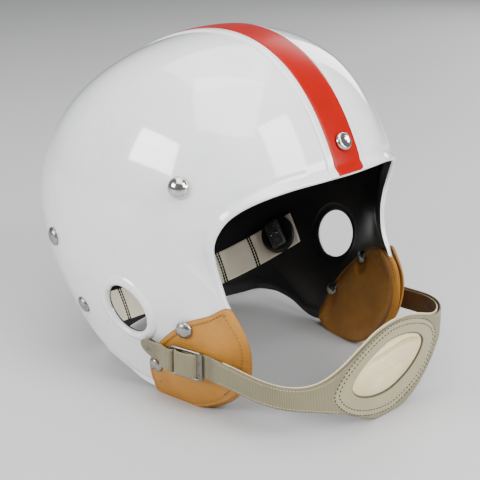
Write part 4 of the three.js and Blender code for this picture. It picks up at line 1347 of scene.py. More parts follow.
@dataclass
class ShellWork:
    """The moulded shell with its lip, its ear holes, its crown ridge and its stripe."""

    columns: int = 340
    crown_rows: int = 62
    inner_rows: int = 44
    white_rows: int = 8
    lip_zone: float = 16.0
    lip_step: float = 0.9
    ridge_half: float = 18.0
    ridge_rise: float = 1.2
    ridge_end: float = 1.6
    crown_radius: float = 130.0
    stripe_half: float = 12.5
    stripe_corner: float = 4.0
    ear_at: tuple[float, float, float] = (107.45, 7.3, 65.9)
    ear_axis: tuple[float, float, float] = (0.969, -0.059, -0.241)
    ear_reach: float = 31.0
    ear_depth: float = 40.0
    ear_spokes: int = 112

    # Rows of an ear: radius, share of the wall's own curve, height over the collar's rim, height over the wall
    COLLAR = ((31, 1, 0, 0), (29, 1, 0, 0), (27.4, 1, 0, 0), (26.5, 1, 0, 0), (26, 1, 0, 0.02),
              (25.7, 1, 0, -0.06), (25.5, 1, 0, 0.05), (25.2, 1, 0, 0.4), (24.7, 0.95, -1.1, 0.75),
              (24, 0.75, -0.85, 0.95), (23, 0.4, -0.45, 1.1), (21.8, 0.12, -0.12, 1.1), (20.6, 0, 0, 0),
              (19.8, 0, -0.12, 0), (19.1, 0, -0.5, 0), (18.5, 0, -1.05, 0), (18.15, 0, -1.7, 0),
              (18, 0, -2.4, 0), (18, 0, -3.0, 0))
    RECESS = ((18.05, 0, -3.8, 0), (18.3, 0, -4.2, 0), (18.8, 0.6, -4.3, 0.5), (19.8, 1, 0, 0.5),
              (21.5, 1, 0, 0.55), (23.2, 1, 0, 0.5), (24.2, 1, 0, 0.32), (25, 1, 0, 0.1), (26, 1, 0, 0),
              (27.5, 1, 0, 0), (29.5, 1, 0, 0))

    def turns(self) -> Array:
        """Turns of the columns, evenly spread along the edge.

        Returns:
            The turns about the pole.
        """
        share = np.arange(self.columns) / self.columns
        at = np.where(share <= 0.5, share * 2, 2 - share * 2) * (FORM.SAMPLES - 1)
        turn = np.interp(at, np.arange(FORM.SAMPLES), FORM.rim_turn)
        return np.where(share <= 0.5, turn, -turn)

    def wall(self, piece: Piece) -> None:
        """Lays the outer face, the rounded edge and the inner face.

        Args:
            piece: the shell.
        """
        turns = self.turns()
        rim_angle, rim_distance = FORM.rim_at(turns)[:2]

        def ring(angles: Array, out: Array | float) -> Array:
            """Lays rings at angles from the pole and a height over the outer face."""
            return piece.lay(FORM.offset(FORM.direction(turns, angles), out))

        half = FORM.WALL / 2
        from_edge = np.arange(self.lip_zone, 1.2, -self.lip_step)
        crown = (rim_angle - self.lip_zone / rim_distance) * np.linspace(0, 1, self.crown_rows)[1:, None]
        outer = ring(np.vstack((crown, rim_angle - from_edge[1:, None] / rim_distance)), 0)
        round_turn = np.radians(np.arange(0, 181, 22.5))[:, None]
        past = half * np.sin(round_turn) - 1.3
        edge = ring(rim_angle + past / rim_distance, half * np.cos(round_turn) - half)
        inner_lip = rim_angle - np.linspace(2.2, self.lip_zone, 9)[:, None] / rim_distance
        inner_crown = inner_lip[-1] * np.linspace(1, 0, self.inner_rows)[1:-1, None]
        inner = ring(np.vstack((inner_lip, inner_crown)), -FORM.WALL)
        piece.cap(outer[0], FORM.offset(FORM.POLE, 0))
        self.faces(piece, outer, inner)
        piece.skin(np.vstack((outer[-1:], edge[: self.white_rows])), wrap=True)
        piece.skin(np.vstack((edge[self.white_rows - 1 :], inner[:1])), wrap=True, finish=1)
        piece.cap(inner[-1], FORM.offset(FORM.POLE, -FORM.WALL), finish=1)

    def faces(self, piece: Piece, outer: Array, inner: Array) -> None:
        """Covers both faces of the wall but for the ears, and joins the ears in.

        Args:
            piece: the shell.
            outer: point numbers of the outer face.
            inner: point numbers of the inner face.
        """
        points = np.concatenate(piece.points)
        frames = [self.ear_frame(side) for side in SIDES.values()]
        rings: list[list] = [[] for _ in frames]
        for grid, finish in ((outer, 0), (inner, 1)):
            keep = np.ones((len(grid) - 1, grid.shape[1]), bool)
            for ring, (origin, axes) in zip(rings, frames):
                local = (points[grid] - origin) @ axes.T
                near = np.hypot(local[..., 0], local[..., 1]) < self.ear_reach + 1
                near &= np.abs(local[..., 2]) < self.ear_depth
                corner = near | np.roll(near, -1, 1)
                gone = corner[:-1] | corner[1:]
                keep &= ~gone
                ring.append(piece.boundary(grid, gone, local))
            piece.skin(grid, wrap=True, finish=finish, keep=keep)
        for frame, ring in zip(frames, rings):
            self.ear(piece, *frame, *ring)

    def ear_frame(self, side: int) -> tuple[Array, Array]:
        """Origin and three unit rows of an ear, the last one pointing out."""
        mirror = (side, 1, 1)
        return np.array(self.ear_at) * mirror, basis(np.array(self.ear_axis) * mirror)

    def ear(self, piece: Piece, origin: Array, axes: Array, outer: tuple, inner: tuple) -> None:
        """Lays the collar, the hole's wall and the shallow recess inside of an ear.

        Args:
            piece: the shell.
            origin: the ear's middle on the outer face.
            axes: the ear's frame.
            outer: ring and turns that the collar joins.
            inner: ring and turns that the recess joins.
        """
        turn = spokes(self.ear_spokes)
        way = np.cos(turn)[:, None] * axes[0] + np.sin(turn)[:, None] * axes[1]

        def rows(profile: Sequence[tuple[float, float, float, float]], depth: float) -> Array:
            """Lays the rows of a profile.

            Args:
                profile: the rows.
                depth: how far under the outer face they lie where they follow it.

            Returns:
                The point numbers.
            """
            made = []
            for radius, share, level, rise in profile:
                start = origin + way * radius
                wall = start + axes[2] * FORM.meet(start, axes[2], -25, 10)[:, None]
                wall = wall - FORM.normal(unit(wall - FORM.CENTRE)) * depth
                made.append((wall + axes[2] * rise) * share + (start + axes[2] * level) * (1 - share))
            return piece.lay(np.array(made))

        front, back = rows(self.COLLAR, 0), rows(self.RECESS, FORM.WALL)
        piece.skin(front, wrap=True)
        piece.skin(np.vstack((front[-1:], back)), wrap=True, finish=1)
        piece.zip_rings(*outer, front[0].tolist(), turn.tolist())
        piece.zip_rings(*inner, back[-1].tolist(), turn.tolist(), finish=1)

    def ridge(self, piece: Piece) -> tuple[Array, Array]:
        """Lays the raised band over the crown.

        Args:
            piece: the shell.

        Returns:
            Its rows' angles over the crown, and how far each row drops near the two ends.
        """
        brow = FORM.crown_angle(*FORM.RIM[0][1:3])
        nape = FORM.crown_angle(*FORM.RIM[-1][1:3]) + WHOLE
        ends = np.array((0.0, 0.002, 0.005, 0.01, 0.018))
        angles = np.concatenate((brow + ends, np.linspace(brow + 0.03, nape - 0.03, 300), nape - ends[::-1]))
        near_end = np.minimum(angles - brow, nape - angles) * self.crown_radius
        drop = self.ridge_end * (1 - rounding(near_end, self.ridge_end))[:, None]
        half, rise = self.ridge_half, self.ridge_rise
        across = np.array((*(half + past for past in (0.7, 0.1, -0.5, -1.1, -1.9, -3)), self.stripe_half, 6))
        high = np.array((-1.0, 0.0, 0.62, 1.0, rise, rise, rise, rise))
        across, high = np.concatenate((-across, [0], across[::-1])), np.concatenate((high, [rise], high[::-1]))
        piece.slab(FORM.crown_point(angles[:, None], across, high - drop),
                   FORM.crown_point(angles[:, None], across, -2.4))
        return angles, drop

    def stripe(self, angles: Array, drop: Array) -> Piece:
        """Lays the stripe on the ridge, with round corners at the brow.

        Args:
            angles: its rows' angles over the crown.
            drop: how far each row drops near the two ends.

        Returns:
            The stripe.
        """
        piece = Piece("crown_stripe_band")
        near_brow = (angles - angles[0]) * self.crown_radius
        corner = self.stripe_corner * (1 - rounding(near_brow, self.stripe_corner))
        shares = np.array((-1, -0.985, -0.8, -0.4, 0, 0.4, 0.8, 0.985, 1))
        lift = np.array((0.02, 0.2, 0.22, 0.22, 0.22, 0.22, 0.22, 0.2, 0.02))
        left = self.stripe_half - corner[:, None]
        across = np.where(shares < 0, shares * self.stripe_half, shares * left)
        base = self.ridge_rise - drop
        piece.slab(FORM.crown_point(angles[:, None], across, base + lift),
                   FORM.crown_point(angles[:, None], across, base - 0.2 + 0 * across))
        return piece

    @staticmethod
    def true_normals(shell: Object, points: Array) -> None:
        """Gives each point that lies on one of the form's two faces the form's own normal.

        Args:
            shell: the shell.
            points: its points in millimetres.
        """
        away = unit(points - FORM.CENTRE)
        normal = FORM.normal(away)
        height = ((points - FORM.point(away)) * normal).sum(1)
        outside, inside = np.abs(height) < 0.03, np.abs(height + FORM.WALL) < 0.2
        calm = (FORM.from_edge(away) > 3) & (np.abs(points[:, 0]) > 22)
        chosen = np.where((outside & calm)[:, None], normal, np.where((inside & calm)[:, None], -normal, 0.0))
        shell.data.normals_split_custom_set_from_vertices(chosen.tolist())

    def build(self, finishes: Finishes) -> None:
        """Builds the shell and the stripe.

        Args:
            finishes: the materials.
        """
        piece = Piece("shell_wall")
        self.wall(piece)
        angles, drop = self.ridge(piece)
        shell = piece.make([finishes["shell white"], finishes["shell black"]])
        self.true_normals(shell, np.concatenate(piece.points))
        finish_piece(shell, "shell_white", ["shell"])
        stripe = self.stripe(angles[2:-1], drop[2:-1])
        finish_piece(stripe.make([finishes["stripe red"]]), "stripe_red", ["crown_stripe"])


# Rivets


class Head(Enum):
    """The kinds of rivet head, as (radius, height) rows of a head one across and one high."""

    DOME = ((0, 1.0), (0.25, 0.97), (0.5, 0.86), (0.72, 0.66), (0.88, 0.4), (0.97, 0.12), (1.0, -0.1),
            (0.97, -0.3), (0.6, -0.32), (0.34, -0.34), (0.34, -1.6), (0, -1.6))
    CUPPED = ((0, 0.62), (0.22, 0.64), (0.4, 0.74), (0.55, 0.92), (0.7, 1.0), (0.84, 0.86), (0.95, 0.5),
              (1.0, 0.1), (0.98, -0.25), (0.6, -0.3), (0.34, -0.34), (0.34, -1.6), (0, -1.6))


@dataclass
class RivetSet:
    """The rivets through the shell and the jaw leather, inside and out."""

    placer: Placer
    stripe_lift: float = 1.45
    leather_lift: float = 2.45
    inner_head: tuple[float, float, float] = (4.8, 4.8, 1.5)

    # Name, place in side view, head radius, dome height, kind, finish
    ROWS = (
        ("front_rivet", -85, 179, 6.2, 2.6, Head.CUPPED, "bright nickel"),
        ("temple_rivet", -33.7, 158, 7.3, 5.0, Head.DOME, "bright nickel"),
        ("back_rivet", 85, 98, 6.8, 2.8, Head.DOME, "dull nickel"),
        ("nape_rivet", 60, 52.7, 6.2, 2.2, Head.DOME, "dull nickel"),
        ("jaw_rivet_upper", -36.3, 62.2, 6.0, 2.9, Head.DOME, "dull nickel"),
        ("jaw_rivet_lower", -7.0, 27.6, 5.6, 2.7, Head.DOME, "dull nickel"),
    )

    def foot(self, name: str, y: float, z: float, side: int) -> tuple[Array, Array, float, float]:
        """Where a rivet sits.

        Args:
            name: its name.
            y: its place along the helmet.
            z: its height.
            side: 1 for the left side and -1 for the right one.

        Returns:
            Its foot on the outer face, its axis, and the heights of its outer and inner head over the foot.
        """
        deep = -FORM.WALL - 0.5
        if name == "front_rivet":
            foot = FORM.crown_point(FORM.crown_angle(y, z), 0.0, 0.0)
            return foot, FORM.normal(unit(foot - FORM.CENTRE)), self.stripe_lift, deep
        if name.startswith("jaw"):
            return *FORM.side_point(y, z, 0, side), self.leather_lift, -JawLeather.EDGE - 1.1
        return *FORM.side_point(y, z, 0, side), 0.0, deep

    def build(self, finishes: Finishes) -> None:
        """Builds every rivet, with its head inside the helmet.

        Args:
            finishes: the materials.
        """
        copies = {head: template(f"{head.name.lower()} copy", lathe(head.value, 36)) for head in Head}
        for name, y, z, radius, dome, head, finish in self.ROWS:
            sides = {"": 1} if name == "front_rivet" else {f"_{label}": side for label, side in SIDES.items()}
            places, frames, sizes = [], [], []
            for side in sides.values():
                foot, axis, lift, deep = self.foot(name, y, z, side)
                places.append(foot + axis * (lift + 0.3 * dome))
                frames.append(basis(axis))
                sizes.append((radius, radius, dome))
                if name != "nape_rivet":
                    places.append(foot + axis * deep)
                    frames.append(basis(-axis))
                    sizes.append(self.inner_head)
            made = self.placer.place(f"{name}_set", copies[head], places, frames, sizes, finishes[finish])
            finish_piece(made, "nickel", [name + label for label in sides])


# Jaw leather


@dataclass
class JawLeather:
    """The leather-covered pad on a side of the jaw: an outer flap, and a cushion round the shell's edge."""

    stitches: StitchSet
    gap: float = 0.3
    thick: float = 2.2
    foot: float = 0.4
    pad_foot: float = 0.05

    EDGE, SWELL, INNER_DEPTH = 6.2, 9.0, 14.0
    FLAP = ((-64.4, 81.2), (-70.3, 75.7), (-74.8, 69.8), (-78.9, 62.2), (-80.6, 53.5), (-79.6, 43),
            (-76.3, 32.7), (-69.5, 22.2), (-60.2, 13.4), (-49.2, 6.2), (-34.5, -0.5), (-17.2, -2.2),
            (-5.4, -0.7), (4, 2.4), (5.3, 13.1), (1.3, 26.8), (-7.6, 38.4), (-18.1, 50.1), (-27.3, 58.9),
            (-36.9, 66.9), (-50.5, 73.1))
    PAD = ((-60, 77.2), (-65.2, 73.4), (-69, 67.1), (-71.8, 59.1), (-73.5, 51.5), (-73.6, 41.5), (-71, 31.4),
           (-66.3, 21.8), (-59.3, 12.5), (-49.5, 4.6), (-38.5, -0.5), (-27, -2.4), (-16.6, -2.2), (-9.3, -0.4),
           (-3.4, 2), (0.1, 5.6), (0.2, 10), (-1.7, 16.9), (-4, 25.1), (-7, 33.5), (-11, 40.9), (-16.3, 47.8),
           (-23.6, 55.6), (-32, 63.4), (-41.4, 71), (-51.5, 76))
    FLAP_MIDDLE, PAD_MIDDLE = np.array((-36.0, 36)), np.array((-41.0, 36))
    FLAP_DEPTHS = (0, 0.12, 0.45, 1.0, 1.7, 2.6, 3.4, 4.0, 4.6, 5.6, 7.5, 10.5)
    PAD_DEPTHS = (0.0, 0.35, 1.0, 1.9, 3.0, 4.6, 7, 10)
    RIVETS = ((-36.3, 62.2), (-7.0, 27.6))

    @staticmethod
    def ahead(y: Array) -> Array:
        """How far the gusset's outer edge lies before the cushion's, which fades to nothing behind."""
        return 5.8 * ease(-50, -72, y)

    @staticmethod
    def outline(rows: Sequence[tuple[float, float]], count: int) -> Path:
        """An outline in side view, evenly spread.

        Args:
            rows: its corner points.
            count: how many points to spread.

        Returns:
            The points, and the inward normals.
        """
        path = SmoothPath(np.array(rows, float), closed=True)
        at = np.arange(count) * path.length / count
        points = path.at(at)
        ahead = path.at((at + 0.5) % path.length) - path.at((at - 0.5) % path.length)
        inward = unit(np.stack((-ahead[:, 1], ahead[:, 0]), -1))
        return points, inward * np.sign(((points.mean(0) - points) * inward).sum(1).mean())

    def rings(self, outline: Path, middle: Array, depths: Sequence[float], shares: Array) -> Path:
        """Rings from an outline inwards by depths, then on to the middle by shares.

        Args:
            outline: the points and their inward normals.
            middle: the middle.
            depths: the depth of each close ring.
            shares: the share of the rest for each wide ring.

        Returns:
            The rings, and their depths in a column.
        """
        points, inward = outline
        rows = [points + inward * depth for depth in depths]
        rows += [rows[-1] + (middle - rows[-1]) * share for share in shares]
        return np.array(rows), np.array((*depths, *(self.INNER_DEPTH for _ in shares)))[:, None]

    def flap(self, piece: Piece, side: int) -> None:
        """Lays the outer leather, with a rolled front edge, a sewn line and a soft swell past the shell.

        Args:
            piece: the jaw leather.
            side: 1 for the left side and -1 for the right one.
        """
        outline = self.outline(self.FLAP, 220)
        rings, depth = self.rings(outline, self.FLAP_MIDDLE, self.FLAP_DEPTHS, np.linspace(0.12, 0.93, 11))
        y, z = rings[..., 0], np.maximum(rings[..., 1], self.foot)
        front = ease(-58, -70, outline[0][:, 0]) * ease(2, 14, outline[0][:, 1])
        seam_at = 3.7 + 1.6 * front
        seam = (0.3 - 0.22 * front) * hump(depth - seam_at, 0.7)
        welt = 0.6 * front * hump(depth - 6, 3)
        puff = 0.3 * ease(4, 14, depth) * (0.5 + 0.5 * np.sin(y * 0.11 + 1) * np.cos(z * 0.13))
        height = self.gap + self.thick * rounding(depth, 1.7) - seam + welt + puff
        # Darker at the worn outer edge, with painted shade along the sewn groove
        worn = 0.5 * hump(depth, 0.9) + 0.22 * hump(depth - seam_at, 0.8)
        rims = []
        for out in (height, self.gap):
            points = FORM.side_point(y, z, out, side)[0]
            grid = piece.lay(points, edge=worn)
            piece.skin(grid, wrap=True)
            piece.cap(grid[-1], points[-1].mean(0))
            rims.append(grid[0])
        piece.skin(np.stack(rims), wrap=True)

    def cushion(self, piece: Piece, side: int) -> None:
        """Lays the stuffed pad: inner face, gusset and the outer face against the shell.

        Args:
            piece: the jaw leather.
            side: 1 for the left side and -1 for the right one.
        """
        outline = self.outline(self.PAD, 200)
        rings, depth = self.rings(outline, self.PAD_MIDDLE, self.PAD_DEPTHS, np.linspace(0.15, 0.93, 9))
        y, z = rings[..., 0], np.maximum(rings[..., 1], self.pad_foot)
        reach = np.linalg.norm(rings - self.PAD_MIDDLE, axis=2)
        share = reach / reach[:1]
        round_over = 1.3 * (1 - rounding(depth, 2.6))
        crease = 0.2 * np.sin(y * 0.21 + z * 0.12) * np.sin(z * 0.17 - y * 0.05) * ease(0, 10, depth)
        rounder = np.minimum(np.hypot((y - self.PAD_MIDDLE[0]) / 35, (z - self.PAD_MIDDLE[1]) / 38), 1)
        low = np.minimum(share**7 + rounder**3 * (1 - share**4), 1)
        deep = self.EDGE + self.SWELL * (1 - low) - round_over + crease
        for rivet_y, rivet_z in self.RIVETS:
            dimple = ease(10, 4.5, np.hypot(y - rivet_y, z - rivet_z))
            deep = deep * (1 - dimple) + (self.EDGE + 0.3 - round_over) * dimple
        inner = np.stack((side * (FORM.side_point(y, z)[0][..., 0] - deep), y, z), -1)
        # Painted shade on the inner face: darker near its rim and towards the front
        shade = 0.5 * hump(depth, 1.4) + 0.45 * ease(-40, -71, y)
        y = y - self.ahead(y)
        past = -FORM.from_edge(unit(FORM.side_point(y, z)[0] - FORM.CENTRE))
        room = FORM.WALL + self.gap
        outer = FORM.side_point(y, z, (room - 0.1) * ease(0.4, 2.2, past) - room, side)[0]
        outer[..., 0] -= side * 0.8 * (1 - np.clip(depth / 1.5, 0, 1))
        steps = np.linspace(0, 1, 9)[1:-1, None, None]
        gusset = inner[0] * (1 - steps) + outer[0] * steps
        gusset[..., 1:] -= outline[1] * (0.9 * np.sin(math.pi * steps) - 0.7 * hump(steps - 0.82, 0.06))
        gusset[..., 2] = np.maximum(gusset[..., 2], self.pad_foot)
        inside = piece.lay(inner, edge=np.clip(shade, 0, 0.9))
        # Painted shade in the groove where the gusset meets the outer face
        band = piece.lay(gusset, edge=0.6 * hump(steps[..., 0] - 0.82, 0.08))
        outside = piece.lay(outer)
        for grid, middle, finish in ((inside, inner[-1].mean(0), 1), (outside, outer[-1].mean(0), 0)):
            piece.skin(grid, wrap=True, finish=finish)
            piece.cap(grid[-1], middle, finish)
        piece.skin(np.vstack((inside[:1], band, outside[:1])), wrap=True)

    @staticmethod
    def stretch(outline: Path, chosen: Array) -> Path:
        """The chosen points of an outline in one unbroken order.

        Args:
            outline: the points and their inward normals.
            chosen: which points.

        Returns:
            Their places and inward normals.
        """
        order = np.nonzero(chosen)[0]
        breaks = np.nonzero(np.diff(order) > 1)[0]
        if len(breaks):
            order = np.roll(order, -(breaks[0] + 1))
        return outline[0][order], outline[1][order]

    def seam_rows(self, side: int) -> list[Path]:
        """Paths of the flap's sewn lines: inside the rolled front edge, and along the top and rear edges.

        Args:
            side: 1 for the left side and -1 for the right one.

        Returns:
            Each line's points and normals.
        """
        rows, outline = [], self.outline(self.FLAP, 400)
        y, z = outline[0].T
        front = (y < -62) & (z > 12)
        for chosen, depth, lift in ((front, 5.3, 0.35), ((z > 20) & ~front, 3.0, -0.25)):
            edge, inward = self.stretch(outline, chosen)
            rows.append(FORM.side_point(*(edge + inward * depth).T, self.gap + self.thick + lift, side))
        return rows

    def gusset_rows(self, side: int) -> list[Path]:
        """Path of the sewn line between the cushion's inner face and its gusset, at the front.

        Args:
            side: 1 for the left side and -1 for the right one.

        Returns:
            The line's points and normals.
        """
        outline = self.outline(self.PAD, 300)
        edge, inward = self.stretch(outline, (outline[0][:, 0] < -50) & (outline[0][:, 1] > 6))
        inside = FORM.side_point(*edge.T)[0][:, 0] - self.EDGE + 1.9
        y, z = (edge - inward * 0.75).T
        path = np.stack((side * inside, y - 0.2 * self.ahead(edge[:, 0]), z), -1)
        return [(path, unit(np.column_stack((np.full(len(edge), -side * 0.5), -inward))))]

    def build(self, finishes: Finishes) -> None:
        """Builds both sides.

        Args:
            finishes: the materials.
        """
        for label, side in SIDES.items():
            piece = Piece(f"jaw_leather_{label}")
            self.flap(piece, side)
            self.cushion(piece, side)
            made = piece.make([finishes["tan leather"], finishes["tan leather inside"]])
            finish_piece(made, "pad_leather", [f"jaw_flap_{label}", f"jaw_pad_{label}"])
            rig.padded(made, 0.7)
            for name, rows, size in (("jaw_seam", self.seam_rows(side), (1.5, 0.75, 0.45)),
                                     ("jaw_gusset_seam", self.gusset_rows(side), (1.5, 0.7, 0.6))):
                self.stitches.sew(f"{name}_{label}", rows, 2.6, size, finishes["tan thread"], "pad_leather")


# Chin strap


@dataclass(frozen=True)
class Oval:
    """A tilted oval on the cup, measured along the band and in height."""

    at: float
    z: float
    long: float
    tall: float
    tilt: float
    power: float

    def ring(self, turns: Array, grow: float = 0, size: Array | float = 1) -> Path:
        """The oval's outline at some turns.

        Args:
            turns: the turns.
            grow: how far outside the outline to stay.
            size: shares of the way from the middle to the outline.

        Returns:
            Distances along and heights.
        """
        across, up = superellipse(turns, self.power)
        along = self.at + (self.long + grow) * (size * across)
        return along, self.z + (self.tall + grow) * (size * up) + self.tilt * (along - self.at)

    def shares(self, along: Array, z: Array, grow: float = 0) -> Path:
        """Places in shares of the half length and the half height.

        Args:
            along: distances along the band.
            z: heights.
            grow: how much larger the oval is.

        Returns:
            The shares across and up.
        """
        away = along - self.at
        return away / (self.long + grow), (z - self.z - self.tilt * away) / (self.tall + grow)


@dataclass
class ChinStrap:
    """The canvas band with its cup, leather lining, padded insert, buckles and tabs."""

    stitches: StitchSet
    half: float = 93.5
    start_y: float = -58.0
    depth: float = 72.5
    power: float = 3.2
    canvas: float = 1.6
    lining: float = 1.3
    between: float = 0.9
    cup_shift: float = 5.0
    cup_tilt: float = 0.085
    cup_fade: float = 75.0
    bulge: float = 3.2
    window: Oval = Oval(2.2, 35.9, 36.3, 17.7, 0.139, 1.7)
    lens: Oval = Oval(4, 34.1, 53.2, 30.2, 0.093, 1.65)

    # Height of the band's two edges, by distance from the cup's middle
    EDGES = ((0, 0.2, 65), (15, 1.2, 63.6), (25, 5, 60.6), (35, 10.8, 56.6), (45, 16.8, 52.3), (55, 22, 48.8),
             (65, 26, 46.6), (80, 29.4, 45.8), (105, 31, 47), (135, 32, 48.2))
    BUCKLE = {"Long": 27.0, "Tall": 21.0, "Wire": 1.0, "Bar Place": -5.4, "Corner": 3.0}
    BUCKLE_AT, BUCKLE_LEAN = (97.9, -40.6, 40.3), 0.2
    LOOP_HALF = 8.3

    def __post_init__(self) -> None:
        """Lays out the bow in plan."""
        across, along = superellipse(np.linspace(0, math.pi, 241), self.power)
        bow = np.stack((-self.half * across, self.start_y - self.depth * along, 0 * along), -1)
        self.bow = SmoothPath(bow)
        self.reach = self.bow.length / 2 - 6

    def bow_at(self, along: Array) -> Array:
        """The bow's point at a signed distance from its middle."""
        return self.bow.at(np.clip(np.asarray(along, float) + self.bow.length / 2, 0, self.bow.length))

    def bow_normal(self, along: Array) -> Array:
        """Outward normal of the bow."""
        return plan_normal(self.bow_at(np.asarray(along) + 0.5) - self.bow_at(np.asarray(along) - 0.5))

    def edges(self, along: Array) -> Path:
        """Low and high edge of the band.

        Args:
            along: signed distances along the bow.

        Returns:
            The heights of the two edges.
        """
        away = np.asarray(along, float) - self.cup_shift
        lean = self.cup_tilt * away * ease(self.cup_fade + 55, self.cup_fade - 15, np.abs(away))
        keys, low, high = zip(*self.EDGES)
        low_edge = hermite(keys, low, np.abs(away)) + lean * (1 - 0.6 * ease(60, 25, np.abs(away)))
        return np.maximum(0, low_edge), hermite(keys, high, np.abs(away)) + lean

    def on_band(self, along: Array, z: Array, out: Array | float) -> Array:
        """Points of the band.

        Args:
            along: distances along the bow.
            z: heights.
            out: distances out from its outer face.

        Returns:
            A point for each.
        """
        along, z = np.broadcast_arrays(np.asarray(along, float), np.asarray(z, float))
        point = self.bow_at(along) + self.bow_normal(along) * np.asarray(out, float)[..., None]
        point[..., 2] = z
        return point

    def buckle_frame(self, side: int) -> tuple[Array, Array, Array]:
        """Where a buckle sits.

        Args:
            side: 1 for the left side and -1 for the right one.

        Returns:
            Its middle, the way ahead along the jaw and the way out.
        """
        sine, cosine = math.sin(self.BUCKLE_LEAN), math.cos(self.BUCKLE_LEAN)
        ahead, out = np.array((-side * sine, -cosine, 0)), np.array((side * cosine, -sine, 0))
        return np.array(self.BUCKLE_AT) * (side, 1, 1), ahead, out

    def bend_radius(self, thick: float) -> float:
        """Radius at which cloth of a thickness bends round the buckle's wire."""
        return self.BUCKLE["Wire"] * 1.42 + 0.21 + thick / 2

    def loop_path(self, side: int) -> Array:
        """Plan of the band's end round the buckle's bar, from its inner tail to where the bow begins.

        Args:
            side: 1 for the left side and -1 for the right one.

        Returns:
            The points.
        """
        origin, ahead, out = self.buckle_frame(side)
        wire, bar = self.BUCKLE["Wire"], self.BUCKLE["Bar Place"]
        radius = self.bend_radius(self.canvas)
        under = -(wire + 0.4 + self.canvas / 2)
        front_bar = self.BUCKLE["Long"] / 2 - wire
        turn = np.linspace(1.5 * math.pi, math.pi / 2, 9)
        rows = [(bar + f, -radius) for f in (8, 5.5, 3)]
        rows += [(bar + radius * math.cos(a), radius * math.sin(a)) for a in turn]
        rows += [(bar + f, o) for f, o in ((4, radius + 0.5), (9, radius + 0.1), (12.6, 1.2), (15, -1.2))]
        rows += [(front_bar + past, under) for past in (-1.2, 2.5)]
        return np.array([origin + ahead * f + out * o for f, o in rows])

    def band_face(self, piece: Piece, along: Array, sign: int) -> tuple[Array, Array]:
        """Lays one face of the band, with the window cut out.

        Args:
            piece: the band.
            along: distances along the bow of its rows.
            sign: 1 for the outer face and -1 for the inner one.

        Returns:
            The point numbers of the face, and those round the window.
        """
        low, high = self.edges(along)
        z = rows_between(low, high, (0, 0.15, 0.45, 0.9, 1.5), 32)
        a = np.broadcast_to(along[:, None], z.shape)
        from_rim = np.minimum(z - low[:, None], high[:, None] - z)
        half = self.canvas / 2
        out = sign * half * rounding(from_rim, 0.9) - half
        if sign > 0:
            out = out + 0.12 * np.sin(a * 0.35) * np.sin(z * 0.3 + 1) * (from_rim > 1)
        grid = piece.lay(self.on_band(a, z, out), np.stack((a, z), -1), 0.5 * hump(from_rim, 0.5))
        near = np.hypot(*self.window.shares(a, z, 3.5)) < 1
        corner = near[:-1] | near[1:]
        gone = corner[:, :-1] | corner[:, 1:]
        piece.skin(grid, finish=0 if sign > 0 else 2, keep=~gone)
        gone = np.hstack((gone, np.zeros((len(gone), 1), bool)))
        hole = piece.boundary(grid, gone, np.stack(self.window.shares(a, z), -1))
        turns, rings = spokes(140), []
        for grow, drop in ((2.2, 0), (1.2, 0), (0.5, 0.12), (0.15, 0.4), (0.0, 0.75)):
            ring, height = self.window.ring(turns, grow)
            points = self.on_band(ring, height, sign * (1 - drop) * half - half)
            # Painted shade on the window's edge, where it turns down towards the insert
            rings.append(piece.lay(points, np.stack((ring, height), -1), 0.9 if drop else 0.0))
        piece.zip_rings(*hole, rings[0].tolist(), turns.tolist())
        piece.skin(np.array(rings), wrap=True)
        return grid, rings[-1]

    def band(self, finishes: Finishes) -> None:
        """Builds the canvas band: the cup with its window, and the straps to the buckles.

        Args:
            finishes: the materials.
        """
        piece = Piece("chin_band")
        along = np.concatenate((np.arange(-self.reach, -75, 2.0), np.arange(-75, 86, 1.5),
                                np.arange(86.5, self.reach, 2.0)))
        (top, top_hole), (low, low_hole) = (self.band_face(piece, along, sign) for sign in (1, -1))
        piece.skin(np.stack((top_hole, low_hole)), wrap=True)
        for place in (np.s_[:, 0], np.s_[:, -1], np.s_[0], np.s_[-1]):
            piece.skin(np.stack((top[place], low[place])))
        for side in SIDES.values():
            self.loop(piece, side)
        made = piece.make([finishes["strap canvas"], finishes["cup canvas"], finishes["brown lining"]])
        self.dress_cup(made)
        finish_piece(made, "strap_canvas", ["chin_strap"])

    def dress_cup(self, made: Object) -> None:
        """Gives the cup's facing inside its outer sewn line the smoother canvas.

        Args:
            made: the band.
        """
        mesh = made.data
        x, y, z = (np.array([p.center for p in mesh.polygons]) / MM + (0, FRAME_Y, 0)).T
        plan = self.bow.points[::40, :2]
        nearest = np.array([np.hypot(*(plan - place).T).argmin() for place in zip(x, y)])
        along = self.bow.lengths[::40][nearest] - self.bow.length / 2
        reach = sum(np.abs(share) ** self.lens.power for share in self.lens.shares(along, z))
        index = np.array([p.material_index for p in mesh.polygons])
        mesh.polygons.foreach_set("material_index", np.where(index == 2, 2, reach < 1).astype(np.int32))

    @staticmethod
    def ribbon(piece: Piece, path: Array, low: Array, high: Array, thick: float, finish: int = 0,
               back_finish: int | None = None, chart_from: float = 0, lean: Array | float = 0) -> None:
        """Lays a band of cloth with rounded edges on a plan path.

        Args:
            piece: the piece that takes it.
            path: the middle of its thickness, in plan.
            low: height of its lower edge along the path.
            high: height of its upper edge.
            thick: its thickness.
            finish: finish of its outer face and its edges.
            back_finish: finish of its inner face where it is another one.
            chart_from: where its pattern map begins.
            lean: how far it leans along x with height, for each point of the path.
        """
        normal = plan_normal(np.gradient(path, axis=0))[:, None]
        z = rows_between(low, high, (0, 0.15, 0.45, 0.9), 7)
        taper = rounding(np.minimum(z - low[:, None], high[:, None] - z), thick * 0.5)
        chart = np.stack((np.broadcast_to((lengths_of(path) + chart_from)[:, None], z.shape), z), -1)
        faces = []
        for sign in (1, -1):
            points = path[:, None] + normal * (sign * thick / 2 * taper)[..., None]
            points[..., 2] = z
            points[..., 0] += np.broadcast_to(lean, len(path))[:, None] * (z - (low + high)[:, None] / 2)
            faces.append(points)
        piece.slab(*faces, chart, finish, back_finish)

